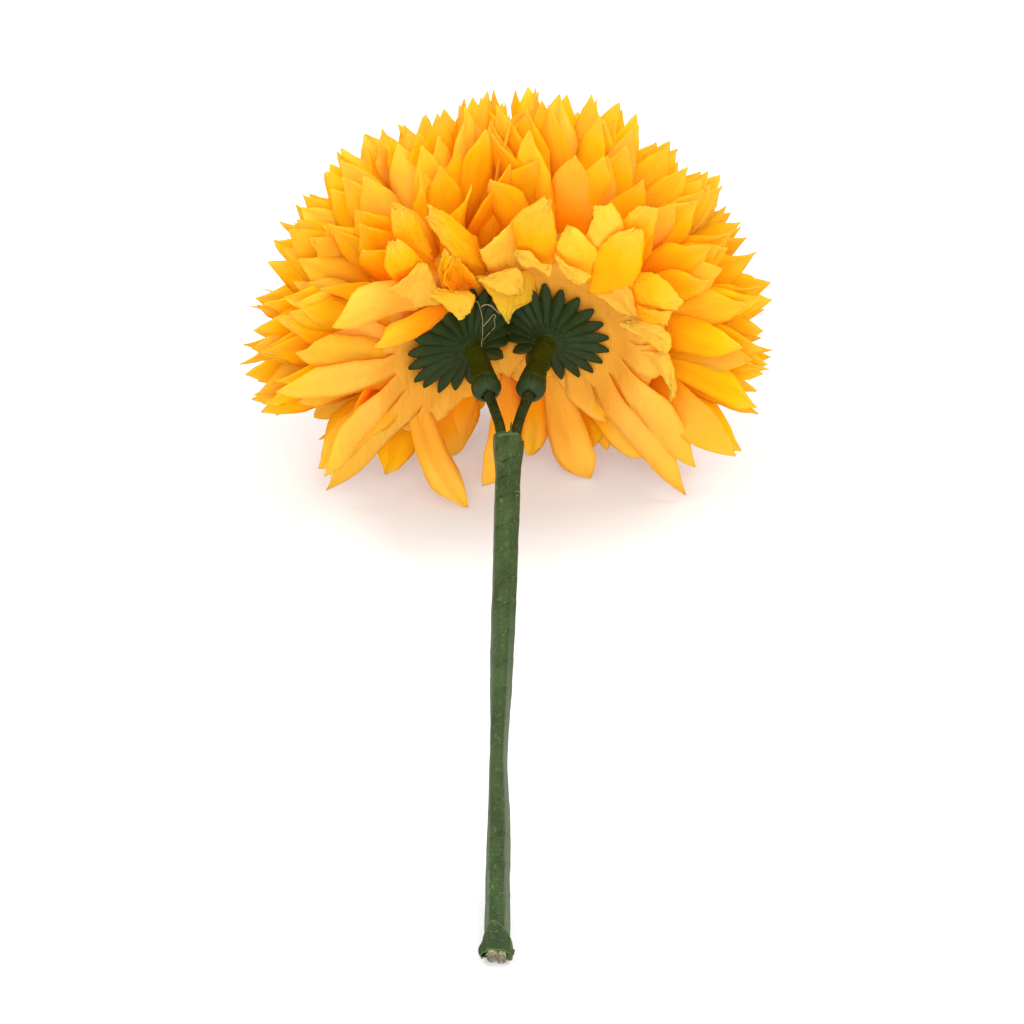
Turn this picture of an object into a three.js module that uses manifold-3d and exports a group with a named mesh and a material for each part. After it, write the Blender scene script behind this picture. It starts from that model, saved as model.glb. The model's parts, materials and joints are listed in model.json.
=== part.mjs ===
// Artificial pompon chrysanthemum: two fabric heads on one forked, tape-wrapped stem.
// It lies on the cut end of its stem and on the low petals of both heads.
// Millimetres. +X right, +Y along the stem towards the heads, +Z up, resting on z = 0.
import * as THREE from 'three';
import Module from 'manifold-3d';
import { mergeVertices } from 'three/addons/utils/BufferGeometryUtils.js';

const wasm = await Module();
wasm.setup();

const deg = THREE.MathUtils.degToRad;
const { lerp, smoothstep } = THREE.MathUtils;

// ---------------------------------------------------------------- driving dimensions

const GAP = 0.3;                  // clearance between pieces that seat on each other
const MIDDLE_Y = 144.1;           // from the cut end to the middle of the whole length

// Stem: a flattened bundle of two rods under tape, turned half round along its length.
const STEM_TILT = deg(12);        // the heads lift the fork off the surface
const STEM_LENGTH = 186.5;        // cut end to fork
const END_HEIGHT = 1.75;          // stem axis above the surface at the cut end
const END_SIDEWAYS = -2.9;        // the cut end lies a little to the left of the fork
const STEM_TWIST = deg(168);      // from the fork down to the cut end
const ROD_RADIUS = 0.95;
const ROD_SPREAD = 1.2;           // rod axis to stem axis inside the wrap
const FORK_SPREAD = 1.9;          // the same at the fork
const FLARE_START = 170.5;        // where the rods begin to part
const WRAP_START = 1.5;           // the tape stops short of the rods' cut ends
const WRAP_OUTER = 2.25;          // radius of the wrap round each rod's axis
const WRAP_INNER = ROD_RADIUS + GAP;

// Branches and the moulded sockets that carry the heads.
const BULB_FOOT_ALONG = 204.6;    // distance from the cut end along the stem
const BULB_FOOT_SIDEWAYS = 5.7;
const NECK_ALONG = 218.9;         // where the sleeve meets the calyx's neck ring
const NECK_SIDEWAYS = 8.4;
const BRANCH_RADIUS = 1.6;
const BRANCH_SUNK = 2.4;          // how far the taped branch goes into the bulb

// Calyx: a shallow ribbed cone of lobes with a peg through the head.
const LOBES = 20;
const CALYX_RADIUS = 16.2;
const CALYX_VALLEY = 9.6;         // radius where two lobes part
const CALYX_SHOULDER = 14;        // radius of the corners beside a lobe's tip
const CALYX_DEPTH = 5.6;          // neck to rim, along the head's axis
const CALYX_WALL = 0.9;
const CALYX_RIB = 0.55;           // how far each lobe's mid-rib stands up
const NECK_RADIUS = 2.35;
const NECK_RING = 1.2;            // length of the ring below the cone
const PEG_RADIUS = 1.5;
const PEG_REACH = 11;             // beyond the back disc

// Heads.
const HEADS = [
  { side: -1, name: 'left', splay: deg(30), radius: 51, seed: 11 },
  { side: 1, name: 'right', splay: deg(20), radius: 54, seed: 29 },
];
const BALL_AHEAD = 14;            // back disc to the middle of the ball of petals
const DISC_RADIUS = 22.5;
const DISC_BACK = 0.4;            // the disc's back face behind the disc plane
const CORE_RADIUS = 25;
const CORE_REACH = 40;
const PETAL_WIDTH = 9.4;
const PETAL_THICK = 0.8;
const PETAL_CUP = 1.3;            // how far the mid-line bows out behind the edges
const SEAM_CLEAR = 0.25;          // each head stays this far from the surface between them
const SEAM_WAVE = 2.4;            // how far that surface swings to either side
const SEAM_PERIOD = 8.5;          // height over which it swings by one radian
const SEAM_FROM = 222;            // it is flat before the first of these distances along the
const SEAM_TO = 238;              // stem and waves fully past the second
const SEAM_SOFTNESS = 3.0;
const SEAM_LIMIT = -10;           // petals that would reach further across are bent back or left out
const FLOOR_CLEAR = 0.35;         // petals other than the feet stay this far up
const FLOOR_SOFTNESS = 1.2;

// ---------------------------------------------------------------- small helpers

function randomFrom(seed) {
  let state = seed >>> 0;
  return () => {
    state = (state + 0x6d2b79f5) >>> 0;
    let t = Math.imul(state ^ (state >>> 15), 1 | state);
    t = (t + Math.imul(t ^ (t >>> 7), 61 | t)) ^ t;
    return ((t ^ (t >>> 14)) >>> 0) / 4294967296;
  };
}

// A smooth lower limit at zero: far above it the value is unchanged.
const softLimit = (value, softness) => softness * Math.log1p(Math.exp(value / softness));

const axisX = new THREE.Vector3(1, 0, 0);
const axisY = new THREE.Vector3(0, 1, 0);
const stemDirection = new THREE.Vector3(0, Math.cos(STEM_TILT), Math.sin(STEM_TILT));
const stemUp = new THREE.Vector3(0, -Math.sin(STEM_TILT), Math.cos(STEM_TILT));

// A point given across the stem, along it and above its plane.
function place(across, along, above = 0) {
  return new THREE.Vector3(0, 0, END_HEIGHT)
    .addScaledVector(axisX, across)
    .addScaledVector(stemDirection, along)
    .addScaledVector(stemUp, above);
}

// One closed mesh with shared corners and no collapsed faces.
function closed(geometry) {
  geometry.deleteAttribute('normal');
  geometry.deleteAttribute('uv');
  const merged = mergeVertices(geometry, 1e-4);
  const faces = [];
  const index = merged.index.array;
  for (let i = 0; i < index.length; i += 3) {
    const [a, b, c] = [index[i], index[i + 1], index[i + 2]];
    if (a !== b && b !== c && c !== a) {
      faces.push(a, b, c);
    }
  }
  merged.setIndex(faces);
  return merged;
}

function solidOf(geometry) {
  const merged = closed(geometry);
  return new wasm.Manifold(new wasm.Mesh({
    numProp: 3,
    vertProperties: new Float32Array(merged.attributes.position.array),
    triVerts: new Uint32Array(merged.index.array),
  }));
}

function geometryOf(solid) {
  const mesh = solid.getMesh();
  const geometry = new THREE.BufferGeometry();
  geometry.setAttribute('position', new THREE.BufferAttribute(new Float32Array(mesh.vertProperties), 3));
  geometry.setIndex(new THREE.BufferAttribute(new Uint32Array(mesh.triVerts), 1));
  return geometry;
}

// A closed skin over two grids of points, the second behind the first.
function skin(front, back) {
  const rows = front.length;
  const columns = front[0].length;
  const corners = [...front.flat(), ...back.flat()].flatMap((p) => [p.x, p.y, p.z]);
  const at = (layer, row, column) => layer * rows * columns + row * columns + column;
  const faces = [];
  const quad = (a, b, c, d) => faces.push(a, b, d, b, c, d);
  for (let r = 0; r < rows - 1; r++) {
    for (let c = 0; c < columns - 1; c++) {
      quad(at(0, r, c), at(0, r, c + 1), at(0, r + 1, c + 1), at(0, r + 1, c));
      faces.push(at(1, r, c), at(1, r + 1, c), at(1, r, c + 1));
      faces.push(at(1, r, c + 1), at(1, r + 1, c), at(1, r + 1, c + 1));
    }
    quad(at(0, r, 0), at(0, r + 1, 0), at(1, r + 1, 0), at(1, r, 0));
    quad(at(1, r, columns - 1), at(1, r + 1, columns - 1), at(0, r + 1, columns - 1), at(0, r, columns - 1));
  }
  for (let c = 0; c < columns - 1; c++) {
    quad(at(1, 0, c), at(1, 0, c + 1), at(0, 0, c + 1), at(0, 0, c));
    quad(at(0, rows - 1, c), at(0, rows - 1, c + 1), at(1, rows - 1, c + 1), at(1, rows - 1, c));
  }
  const geometry = new THREE.BufferGeometry();
  geometry.setAttribute('position', new THREE.Float32BufferAttribute(corners, 3));
  geometry.setIndex(faces);
  return geometry;
}

// A wall between an outer and an inner row of rings, open at both ends.
function tubeWall(outer, inner) {
  const rings = outer.length;
  const sides = outer[0].length;
  const corners = [...outer.flat(), ...inner.flat()].flatMap((p) => [p.x, p.y, p.z]);
  const at = (layer, ring, side) => layer * rings * sides + ring * sides + (side % sides);
  const faces = [];
  const quad = (a, b, c, d) => faces.push(a, b, d, b, c, d);
  for (let s = 0; s < sides; s++) {
    for (let r = 0; r < rings - 1; r++) {
      quad(at(0, r, s), at(0, r, s + 1), at(0, r + 1, s + 1), at(0, r + 1, s));
      quad(at(1, r, s + 1), at(1, r, s), at(1, r + 1, s), at(1, r + 1, s + 1));
    }
    quad(at(1, 0, s), at(1, 0, s + 1), at(0, 0, s + 1), at(0, 0, s));
    quad(at(0, rings - 1, s), at(0, rings - 1, s + 1), at(1, rings - 1, s + 1), at(1, rings - 1, s));
  }
  const geometry = new THREE.BufferGeometry();
  geometry.setAttribute('position', new THREE.Float32BufferAttribute(corners, 3));
  geometry.setIndex(faces);
  return geometry;
}

// A solid bar through a row of rings, with flat ends.
function bar(ringRow) {
  const rings = ringRow.length;
  const sides = ringRow[0].length;
  const corners = ringRow.flat().flatMap((p) => [p.x, p.y, p.z]);
  const at = (ring, side) => ring * sides + (side % sides);
  const faces = [];
  for (let s = 0; s < sides; s++) {
    for (let r = 0; r < rings - 1; r++) {
      faces.push(at(r, s), at(r, s + 1), at(r + 1, s), at(r, s + 1), at(r + 1, s + 1), at(r + 1, s));
    }
  }
  for (let s = 1; s < sides - 1; s++) {
    faces.push(at(0, 0), at(0, s + 1), at(0, s), at(rings - 1, 0), at(rings - 1, s), at(rings - 1, s + 1));
  }
  const geometry = new THREE.BufferGeometry();
  geometry.setAttribute('position', new THREE.Float32BufferAttribute(corners, 3));
  geometry.setIndex(faces);
  return geometry;
}

// Turns a solid so that its volume is counted outwards.
function facingOut(geometry) {
  const merged = closed(geometry);
  const p = merged.attributes.position;
  const corner = (i) => new THREE.Vector3().fromBufferAttribute(p, i);
  const index = merged.index.array;
  let volume = 0;
  for (let i = 0; i < index.length; i += 3) {
    volume += corner(index[i]).dot(corner(index[i + 1]).cross(corner(index[i + 2])));
  }
  if (volume < 0) {
    merged.setIndex(Array.from(index).reverse());
  }
  return merged;
}

// The largest body of a solid: loose scraps and the walls of sealed hollows are left behind.
function largestBody(solid) {
  return solid.decompose().reduce((best, body) => (body.volume() > best.volume() ? body : best));
}

// ---------------------------------------------------------------- stem and branches

const stemSideways = (along) => END_SIDEWAYS * (1 - along / STEM_LENGTH) ** 1.3;
const rodSpread = (along) => lerp(ROD_SPREAD, FORK_SPREAD, smoothstep(along, FLARE_START, STEM_LENGTH));
const stemTurn = (along) => STEM_TWIST * (1 - along / STEM_LENGTH) ** 1.1;

// Across and above directions of the bundle's section at a distance along the stem.
function sectionAt(along) {
  const turn = stemTurn(Math.min(along, STEM_LENGTH));
  const wide = axisX.clone().multiplyScalar(Math.cos(turn)).addScaledVector(stemUp, Math.sin(turn));
  const thin = axisX.clone().multiplyScalar(-Math.sin(turn)).addScaledVector(stemUp, Math.cos(turn));
  return { centre: place(stemSideways(along), along), wide, thin };
}

function rodInWrap(side, along) {
  const { centre, wide } = sectionAt(along);
  return centre.addScaledVector(wide, side * rodSpread(along));
}

const bulbFoot = (side) => place(side * BULB_FOOT_SIDEWAYS, BULB_FOOT_ALONG);
const neck = (side) => place(side * NECK_SIDEWAYS, NECK_ALONG);
const socketDirection = (side) => neck(side).sub(bulbFoot(side)).normalize();
const onSocket = (side, along) => bulbFoot(side).addScaledVector(socketDirection(side), along);

// From the fork to the bulb the branch leaves the wrap straight and turns into the socket's axis.
function branchCurve(side) {
  const start = rodInWrap(side, STEM_LENGTH);
  const direction = rodInWrap(side, STEM_LENGTH).sub(rodInWrap(side, STEM_LENGTH - 3)).normalize();
  const end = onSocket(side, BRANCH_SUNK);
  const reach = start.distanceTo(end) / 3;
  return new THREE.CubicBezierCurve3(
    start,
    start.clone().addScaledVector(direction, reach),
    end.clone().addScaledVector(socketDirection(side), -reach),
    end,
  );
}

// A round ring square to a direction.
function roundRing(centre, direction, radius, sides) {
  const wide = new THREE.Vector3().crossVectors(direction, stemUp).normalize();
  const thin = new THREE.Vector3().crossVectors(wide, direction);
  const ring = [];
  for (let i = 0; i < sides; i++) {
    const angle = (i / sides) * Math.PI * 2;
    ring.push(centre.clone()
      .addScaledVector(wide, radius * Math.cos(angle))
      .addScaledVector(thin, radius * Math.sin(angle)));
  }
  return ring;
}

const BRANCH_STEPS = 5;

function rod(side) {
  const sides = 8;
  const wrapSteps = 15;
  const rings = [];
  for (let i = 0; i < wrapSteps; i++) {
    const along = (STEM_LENGTH * i) / wrapSteps;
    const direction = rodInWrap(side, along + 1).sub(rodInWrap(side, along)).normalize();
    rings.push(roundRing(rodInWrap(side, along), direction, ROD_RADIUS, sides));
  }
  const curve = branchCurve(side);
  for (let i = 0; i <= BRANCH_STEPS; i++) {
    const share = i / BRANCH_STEPS;
    rings.push(roundRing(curve.getPointAt(share), curve.getTangentAt(share), ROD_RADIUS, sides));
  }
  rings.push(roundRing(onSocket(side, SOCKET_BLIND - GAP), socketDirection(side), ROD_RADIUS, sides));
  return facingOut(bar(rings));
}

// A row of rings round a path: each ring has its own radii along the two section directions.
function ringAt(centre, wide, thin, spread, radius) {
  const half = 6;
  const ring = [];
  for (const end of [1, -1]) {
    for (let i = 0; i <= half; i++) {
      const angle = -Math.PI / 2 + (i / half) * Math.PI;
      const across = end * (spread + radius * Math.cos(angle));
      const up = end * radius * Math.sin(angle);
      ring.push(centre.clone().addScaledVector(wide, across).addScaledVector(thin, up));
    }
  }
  return ring;
}

function stemWrap() {
  const outer = [];
  const inner = [];
  const rings = 17;
  for (let i = 0; i <= rings; i++) {
    const along = lerp(WRAP_START, STEM_LENGTH, i / rings);
    const { centre, wide, thin } = sectionAt(along);
    outer.push(ringAt(centre, wide, thin, rodSpread(along), WRAP_OUTER));
    inner.push(ringAt(centre, wide, thin, rodSpread(along), WRAP_INNER));
  }
  const wrap = solidOf(facingOut(tubeWall(outer, inner)));
  const below = new THREE.BoxGeometry(40, 40, 20).translate(0, 0, -10);
  return geometryOf(wrap.subtract(solidOf(below)));
}

function branchTape(side) {
  const curve = branchCurve(side);
  const sides = 10;
  const outer = [];
  const inner = [];
  for (let i = 0; i <= BRANCH_STEPS; i++) {
    const share = Math.max(i / BRANCH_STEPS, 0.02);
    const centre = curve.getPointAt(share);
    const direction = curve.getTangentAt(share);
    outer.push(roundRing(centre, direction, BRANCH_RADIUS, sides));
    inner.push(roundRing(centre, direction, ROD_RADIUS + 0.2, sides));
  }
  return facingOut(tubeWall(outer, inner));
}

// ---------------------------------------------------------------- sockets

const SOCKET_LENGTH = neck(1).distanceTo(bulbFoot(1));
const SOCKET_BLIND = SOCKET_LENGTH - 3;    // the rod's bore stops this far up
const BULB_RIBS = 10;

// Radius of the ribbed bulb and of the sleeve above it, by distance from the bulb's mouth.
const SOCKET_PROFILE = [
  [2.4, 0], [3.2, 0.9], [3.45, 2.6], [3.1, 4.4], [2.75, 6.2], [2.45, SOCKET_LENGTH - GAP],
];

function socket(head) {
  const bore = BRANCH_RADIUS + GAP;
  const rodBore = ROD_RADIUS + GAP;
  const profile = [
    [0, SOCKET_BLIND], [rodBore, SOCKET_BLIND], [rodBore, BRANCH_SUNK + GAP], [bore, BRANCH_SUNK + GAP],
    [bore, 0], ...SOCKET_PROFILE, [0, SOCKET_LENGTH - GAP],
  ].map(([radius, height]) => new THREE.Vector2(radius, height));
  const geometry = new THREE.LatheGeometry(profile, BULB_RIBS * 2);
  const position = geometry.attributes.position;
  const ribDepth = 0.3;
  for (let i = 0; i < position.count; i++) {
    const corner = new THREE.Vector3().fromBufferAttribute(position, i);
    const radius = Math.hypot(corner.x, corner.z);
    const turn = Math.atan2(corner.z, corner.x);
    const onBulb = smoothstep(radius, 2.8, 3.2) * (1 - smoothstep(corner.y, 4, 6));
    const rib = ribDepth * onBulb * (0.5 - 0.5 * Math.cos(turn * BULB_RIBS));
    const factor = radius > 0 ? (radius - rib) / radius : 1;
    position.setXYZ(i, corner.x * factor, corner.y, corner.z * factor);
  }
  const heights = Array.from({ length: position.count }, (_, i) => position.getY(i));
  const direction = socketDirection(head.side);
  geometry.applyQuaternion(new THREE.Quaternion().setFromUnitVectors(axisY, direction));
  const foot = bulbFoot(head.side);
  geometry.translate(foot.x, foot.y, foot.z);
  // The end face is cut square to the head's axis, where the calyx's ring seats.
  const { ahead } = headFrame(head);
  const seat = neck(head.side);
  for (let i = 0; i < position.count; i++) {
    if (heights[i] > SOCKET_LENGTH - GAP - 0.01) {
      const corner = new THREE.Vector3().fromBufferAttribute(position, i);
      const short = -GAP - corner.clone().sub(seat).dot(ahead);
      corner.addScaledVector(direction, short / direction.dot(ahead));
      position.setXYZ(i, corner.x, corner.y, corner.z);
    }
  }
  return facingOut(geometry);
}

// ---------------------------------------------------------------- heads: shared frame

// Height of the calyx's lowest face over the plane of the back disc.
const NECK_FOOT = -(CALYX_DEPTH + DISC_BACK + GAP + CALYX_WALL + NECK_RING);

// The head's own directions: ahead along its axis, out to its right and up.
function headFrame(head) {
  const ahead = axisX.clone().multiplyScalar(head.side * Math.sin(head.splay))
    .addScaledVector(stemDirection, Math.cos(head.splay));
  const up = stemUp.clone();
  const right = new THREE.Vector3().crossVectors(ahead, up).normalize();
  const neckPoint = neck(head.side);
  const hub = neckPoint.clone().addScaledVector(ahead, -NECK_FOOT);
  const ball = hub.clone().addScaledVector(ahead, BALL_AHEAD);
  const outward = (azimuth) => right.clone().multiplyScalar(Math.cos(azimuth))
    .addScaledVector(up, Math.sin(azimuth));
  const at = (radius, azimuth, height) => hub.clone()
    .addScaledVector(outward(azimuth), radius)
    .addScaledVector(ahead, height);
  return { ahead, up, right, hub, ball, outward, at };
}

// The surface between the heads waves gently, as the petals of both push into each other.
const seamAt = (point) => SEAM_WAVE * Math.sin(point.z / SEAM_PERIOD)
  * smoothstep(point.y, SEAM_FROM, SEAM_TO);

// How far a point of a head is on its own side of that surface.
const onOwnSide = (point, side) => side * (point.x - seamAt(point)) - SEAM_CLEAR;

function keepToSide(point, side, softness) {
  const room = onOwnSide(point, side);
  point.x += side * (softLimit(room, softness) - room);
  return point;
}

// ---------------------------------------------------------------- calyxes

function calyx(head) {
  const frame = headFrame(head);
  const columns = LOBES * 4;
  const rim = [CALYX_VALLEY, CALYX_SHOULDER, CALYX_RADIUS, CALYX_SHOULDER];
  const outer = [];
  const inner = [];
  for (const share of [0, 1]) {
    const ring = [];
    const under = [];
    for (let c = 0; c < columns; c++) {
      const step = c % 4;
      const offset = step === 1 ? -0.16 : step === 3 ? 0.16 : 0;
      const azimuth = ((c + offset) / columns) * Math.PI * 2;
      const radius = lerp(NECK_RADIUS, rim[step], share);
      const height = -CALYX_DEPTH * (1 - (radius - NECK_RADIUS) / (CALYX_RADIUS - NECK_RADIUS));
      const face = Math.min(height, 0) - DISC_BACK - GAP;
      const rib = step === 2 ? CALYX_RIB : 0;
      ring.push(keepToSide(frame.at(radius, azimuth, face - CALYX_WALL - rib), head.side, 1.2));
      under.push(keepToSide(frame.at(radius, azimuth, face), head.side, 1.2));
    }
    outer.push(ring);
    inner.push(under);
  }
  const cone = solidOf(facingOut(tubeWall(outer, inner)));
  const pegProfile = [
    [0, NECK_FOOT], [NECK_RADIUS + 0.2, NECK_FOOT], [NECK_RADIUS + 0.4, NECK_FOOT + 0.5],
    [NECK_RADIUS + 0.2, NECK_FOOT + NECK_RING], [NECK_RADIUS + 0.6, NECK_FOOT + NECK_RING + 0.6],
    [PEG_RADIUS, NECK_FOOT + NECK_RING + 1.6], [PEG_RADIUS, PEG_REACH - 0.6],
    [PEG_RADIUS - 0.6, PEG_REACH], [0, PEG_REACH],
  ].map(([radius, height]) => new THREE.Vector2(radius, height));
  const peg = new THREE.LatheGeometry(pegProfile, 14);
  peg.applyQuaternion(new THREE.Quaternion().setFromUnitVectors(axisY, frame.ahead));
  peg.translate(frame.hub.x, frame.hub.y, frame.hub.z);
  return geometryOf(largestBody(cone.add(solidOf(facingOut(peg)))));
}

// ---------------------------------------------------------------- petals

// Layers from the back disc to the front: where the tips point, how many, where they root.
const LAYER_COUNT = 10;
const PETALS_IN_LAYER = [15, 15, 15, 14, 13, 11, 9, 6, 4, 1];
const FULL_LAYERS = 5;            // layers whose blades have one more section near the tip

function layerAt(index) {
  const share = index / (LAYER_COUNT - 1);
  return {
    petals: PETALS_IN_LAYER[index],
    polar: deg(lerp(108, 0, share ** 0.93)),
    lean: deg(lerp(91, 4, share ** 1.25)),
    rootRadius: lerp(9, 1, share),
    rootHeight: lerp(0.5, 20, share),
    offset: index % 2 ? 0.5 : 0,
  };
}

// Where along a blade its sections stand, and how wide each is for the blade's full width.
const FULL_ROWS = [[0.2, 0.62], [0.6, 1], [0.83, 0.74], [1, 0]];
const FEW_ROWS = [[0.2, 0.62], [0.66, 1], [1, 0]];
const FEET = [0, 2];              // layers whose lowest petal lies with its tip flat on the surface
const FOOT_SLIDE = [-13, 9];      // how far each foot's tip runs back or ahead along the surface
const FOOT_SPLAY = 3;

// One blade: a cupped, pointed strip that follows a curve from its root to its tip.
function blade({ curve, sideways, width, twist, rows, head, foot }) {
  const front = [];
  const back = [];
  rows.forEach(([share, widthShare], row) => {
    const centre = curve.getPointAt(share);
    const along = curve.getTangentAt(share);
    const across = sideways.clone().applyAxisAngle(along, twist * share)
      .addScaledVector(along, -sideways.dot(along)).normalize();
    const face = new THREE.Vector3().crossVectors(along, across).normalize();
    const half = (widthShare * width) / 2;
    const flat = foot && row >= 2;
    if (flat) {
      centre.z = PETAL_THICK / 2;
      face.set(0, 0, Math.sign(face.z) || 1);
      across.z = 0;
      across.normalize();
    }
    const bow = flat ? 0 : PETAL_CUP * widthShare;
    const points = [-1, 0, 1].map((edge) => centre.clone()
      .addScaledVector(across, edge * half)
      .addScaledVector(face, edge === 0 ? -bow : 0));
    const fronts = points.map((p) => p.clone().addScaledVector(face, PETAL_THICK / 2));
    const backs = points.map((p) => p.clone().addScaledVector(face, -PETAL_THICK / 2));
    const all = [...fronts, ...backs];
    const nearest = Math.min(...all.map((p) => onOwnSide(p, head.side)));
    const aside = softLimit(nearest, SEAM_SOFTNESS) - nearest;
    const lowest = Math.min(...all.map((p) => p.z)) - FLOOR_CLEAR;
    const lift = flat ? 0 : softLimit(lowest, FLOOR_SOFTNESS) - lowest;
    for (const p of all) {
      p.x += head.side * aside;
      p.z += lift;
    }
    front.push(fronts);
    back.push(backs);
  });
  return facingOut(skin(front, back));
}

// Radius of the ball of petals in a direction: fuller over the seam between the heads.
function ballRadius(head, direction) {
  const inward = Math.max(0, -head.side * direction.x);
  const high = Math.max(0, direction.z);
  return head.radius * (1 + 0.09 * high * smoothstep(inward, 0.02, 0.4));
}

function petals(head) {
  const frame = headFrame(head);
  const random = randomFrom(head.seed);
  const jitter = (size) => (random() * 2 - 1) * size;
  const made = [];
  for (let index = 0; index < LAYER_COUNT; index++) {
    const layer = layerAt(index);
    for (let i = 0; i < layer.petals; i++) {
      const isFoot = i === 0 && FEET.includes(index);
      const scatter = isFoot ? 0 : 1;
      const step = (Math.PI * 2) / layer.petals;
      const start = -Math.PI / 2 + layer.offset * step;
      const azimuth = start + i * step + scatter * jitter(deg(3.5));
      const polar = layer.polar + scatter * jitter(deg(2.5));
      const outward = frame.outward(azimuth);
      const root = frame.at(layer.rootRadius, azimuth, layer.rootHeight);
      const toTip = outward.clone().multiplyScalar(Math.sin(polar))
        .addScaledVector(frame.ahead, Math.cos(polar));
      const reach = ballRadius(head, toTip) * (1 + scatter * jitter(0.035));
      const tip = frame.ball.clone().addScaledVector(toTip, reach);
      const twist = scatter * jitter(deg(16));
      const width = PETAL_WIDTH * (1 + jitter(0.06));
      const lean = outward.clone().multiplyScalar(Math.sin(layer.lean))
        .addScaledVector(frame.ahead, Math.cos(layer.lean));
      const bend = root.clone().addScaledVector(lean, root.distanceTo(tip) * 0.5);
      if (head.side * tip.x < SEAM_LIMIT) {
        const foldsBack = index < 2 && outward.z > 0.55;
        if (!foldsBack) {
          continue;
        }
        bend.copy(frame.at(30, azimuth, 0));
        tip.copy(frame.at(21, azimuth, -9 - index));
        tip.z += 4;
      }
      if (isFoot) {
        tip.add(new THREE.Vector3(head.side * FOOT_SPLAY, FOOT_SLIDE[FEET.indexOf(index)], 0));
      }
      made.push(blade({
        curve: new THREE.QuadraticBezierCurve3(root, bend, tip),
        sideways: new THREE.Vector3().crossVectors(frame.ahead, outward),
        width,
        twist,
        rows: index < FULL_LAYERS ? FULL_ROWS : FEW_ROWS,
        head,
        foot: isFoot,
      }));
    }
  }
  return made;
}

// The packed middle of the discs, with the flat back disc and the hole for the calyx's peg.
function core(head) {
  const hole = PEG_RADIUS + GAP;
  const profile = [
    [0, PEG_REACH + GAP], [hole, PEG_REACH + GAP], [hole, -DISC_BACK], [DISC_RADIUS, -DISC_BACK],
    [DISC_RADIUS, 0.6], [24.2, 6], [CORE_RADIUS, 14], [23.2, 24], [17.5, 33], [9, 38.4], [0, CORE_REACH],
  ].map(([radius, height]) => new THREE.Vector2(radius, height));
  const geometry = new THREE.LatheGeometry(profile, 18);
  const frame = headFrame(head);
  geometry.applyQuaternion(new THREE.Quaternion().setFromUnitVectors(axisY, frame.ahead));
  geometry.translate(frame.hub.x, frame.hub.y, frame.hub.z);
  const position = geometry.attributes.position;
  for (let i = 0; i < position.count; i++) {
    const corner = keepToSide(new THREE.Vector3().fromBufferAttribute(position, i), head.side, 1.5);
    position.setXYZ(i, corner.x, corner.y, corner.z);
  }
  return facingOut(geometry);
}

function bloom(head) {
  let solid = solidOf(core(head));
  for (const petal of petals(head)) {
    solid = solid.add(solidOf(petal));
  }
  return geometryOf(largestBody(solid));
}

// ---------------------------------------------------------------- the object

const finish = (color, roughness) => new THREE.MeshStandardMaterial({ color, roughness, metalness: 0 });
const PETAL_FABRIC = finish(0xf6a81c, 0.85);
const CALYX_PLASTIC = finish(0x2c4a34, 0.6);
const SOCKET_PLASTIC = finish(0x2f4f3c, 0.5);
const STEM_TAPE = finish(0x3c6a3c, 0.8);
const BRANCH_TAPE = finish(0x31561f, 0.8);
const ROD_PLASTIC = finish(0xc9c4b4, 0.6);

const plant = new THREE.Group();

function addPiece(name, geometry, material) {
  const mesh = new THREE.Mesh(geometry, material);
  mesh.name = name;
  plant.add(mesh);
}

addPiece('stem_wrap', stemWrap(), STEM_TAPE);
for (const head of HEADS) {
  addPiece(`rod_${head.name}`, rod(head.side), ROD_PLASTIC);
  addPiece(`branch_tape_${head.name}`, branchTape(head.side), BRANCH_TAPE);
  addPiece(`socket_${head.name}`, socket(head), SOCKET_PLASTIC);
  addPiece(`calyx_${head.name}`, calyx(head), CALYX_PLASTIC);
  addPiece(`bloom_${head.name}`, bloom(head), PETAL_FABRIC);
}
plant.position.set(0, -MIDDLE_Y, 0);

export default plant;
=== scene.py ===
"""Artificial pompon chrysanthemum: two fabric heads on one forked, tape-wrapped stem."""
import json
import math
import random

import bmesh
import bpy
from mathutils import Matrix, Vector, noise

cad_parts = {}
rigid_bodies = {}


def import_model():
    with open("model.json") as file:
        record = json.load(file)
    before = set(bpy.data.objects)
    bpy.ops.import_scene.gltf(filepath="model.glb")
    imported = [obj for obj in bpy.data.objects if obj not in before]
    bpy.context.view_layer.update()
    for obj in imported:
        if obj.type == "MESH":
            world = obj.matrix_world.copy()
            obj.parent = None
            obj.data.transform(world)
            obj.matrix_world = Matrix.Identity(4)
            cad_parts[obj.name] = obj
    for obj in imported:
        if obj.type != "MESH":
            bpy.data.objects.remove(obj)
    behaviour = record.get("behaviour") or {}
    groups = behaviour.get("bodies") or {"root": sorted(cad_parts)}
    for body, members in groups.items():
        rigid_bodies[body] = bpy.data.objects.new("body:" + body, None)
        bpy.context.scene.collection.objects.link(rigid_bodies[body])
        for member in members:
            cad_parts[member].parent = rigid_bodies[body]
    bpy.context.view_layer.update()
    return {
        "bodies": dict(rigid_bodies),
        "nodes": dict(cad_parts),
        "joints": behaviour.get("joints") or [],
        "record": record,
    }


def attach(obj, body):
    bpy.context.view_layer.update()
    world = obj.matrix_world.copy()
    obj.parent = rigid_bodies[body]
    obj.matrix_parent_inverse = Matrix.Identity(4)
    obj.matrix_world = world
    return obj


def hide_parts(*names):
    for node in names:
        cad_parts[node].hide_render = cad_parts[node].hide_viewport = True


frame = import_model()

bl_info = {
    "name": "Pompon Chrysanthemum Pick",
    "version": (1, 0, 0),
    "blender": (4, 5, 0),
    "location": "View3D > Sidebar > Pompon Pick",
    "description": "Builds the petals, calyxes, sockets and taped stem of a fabric pompon pick",
    "category": "Object",
}

MM = 0.001                        # lengths are in millimetres, unless it's said
CM = 0.1                          # the maps of cloth and tape are in centimetres
TAU = math.tau

# ---------------------------------------------------------------- sizes shared with the frame

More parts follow.
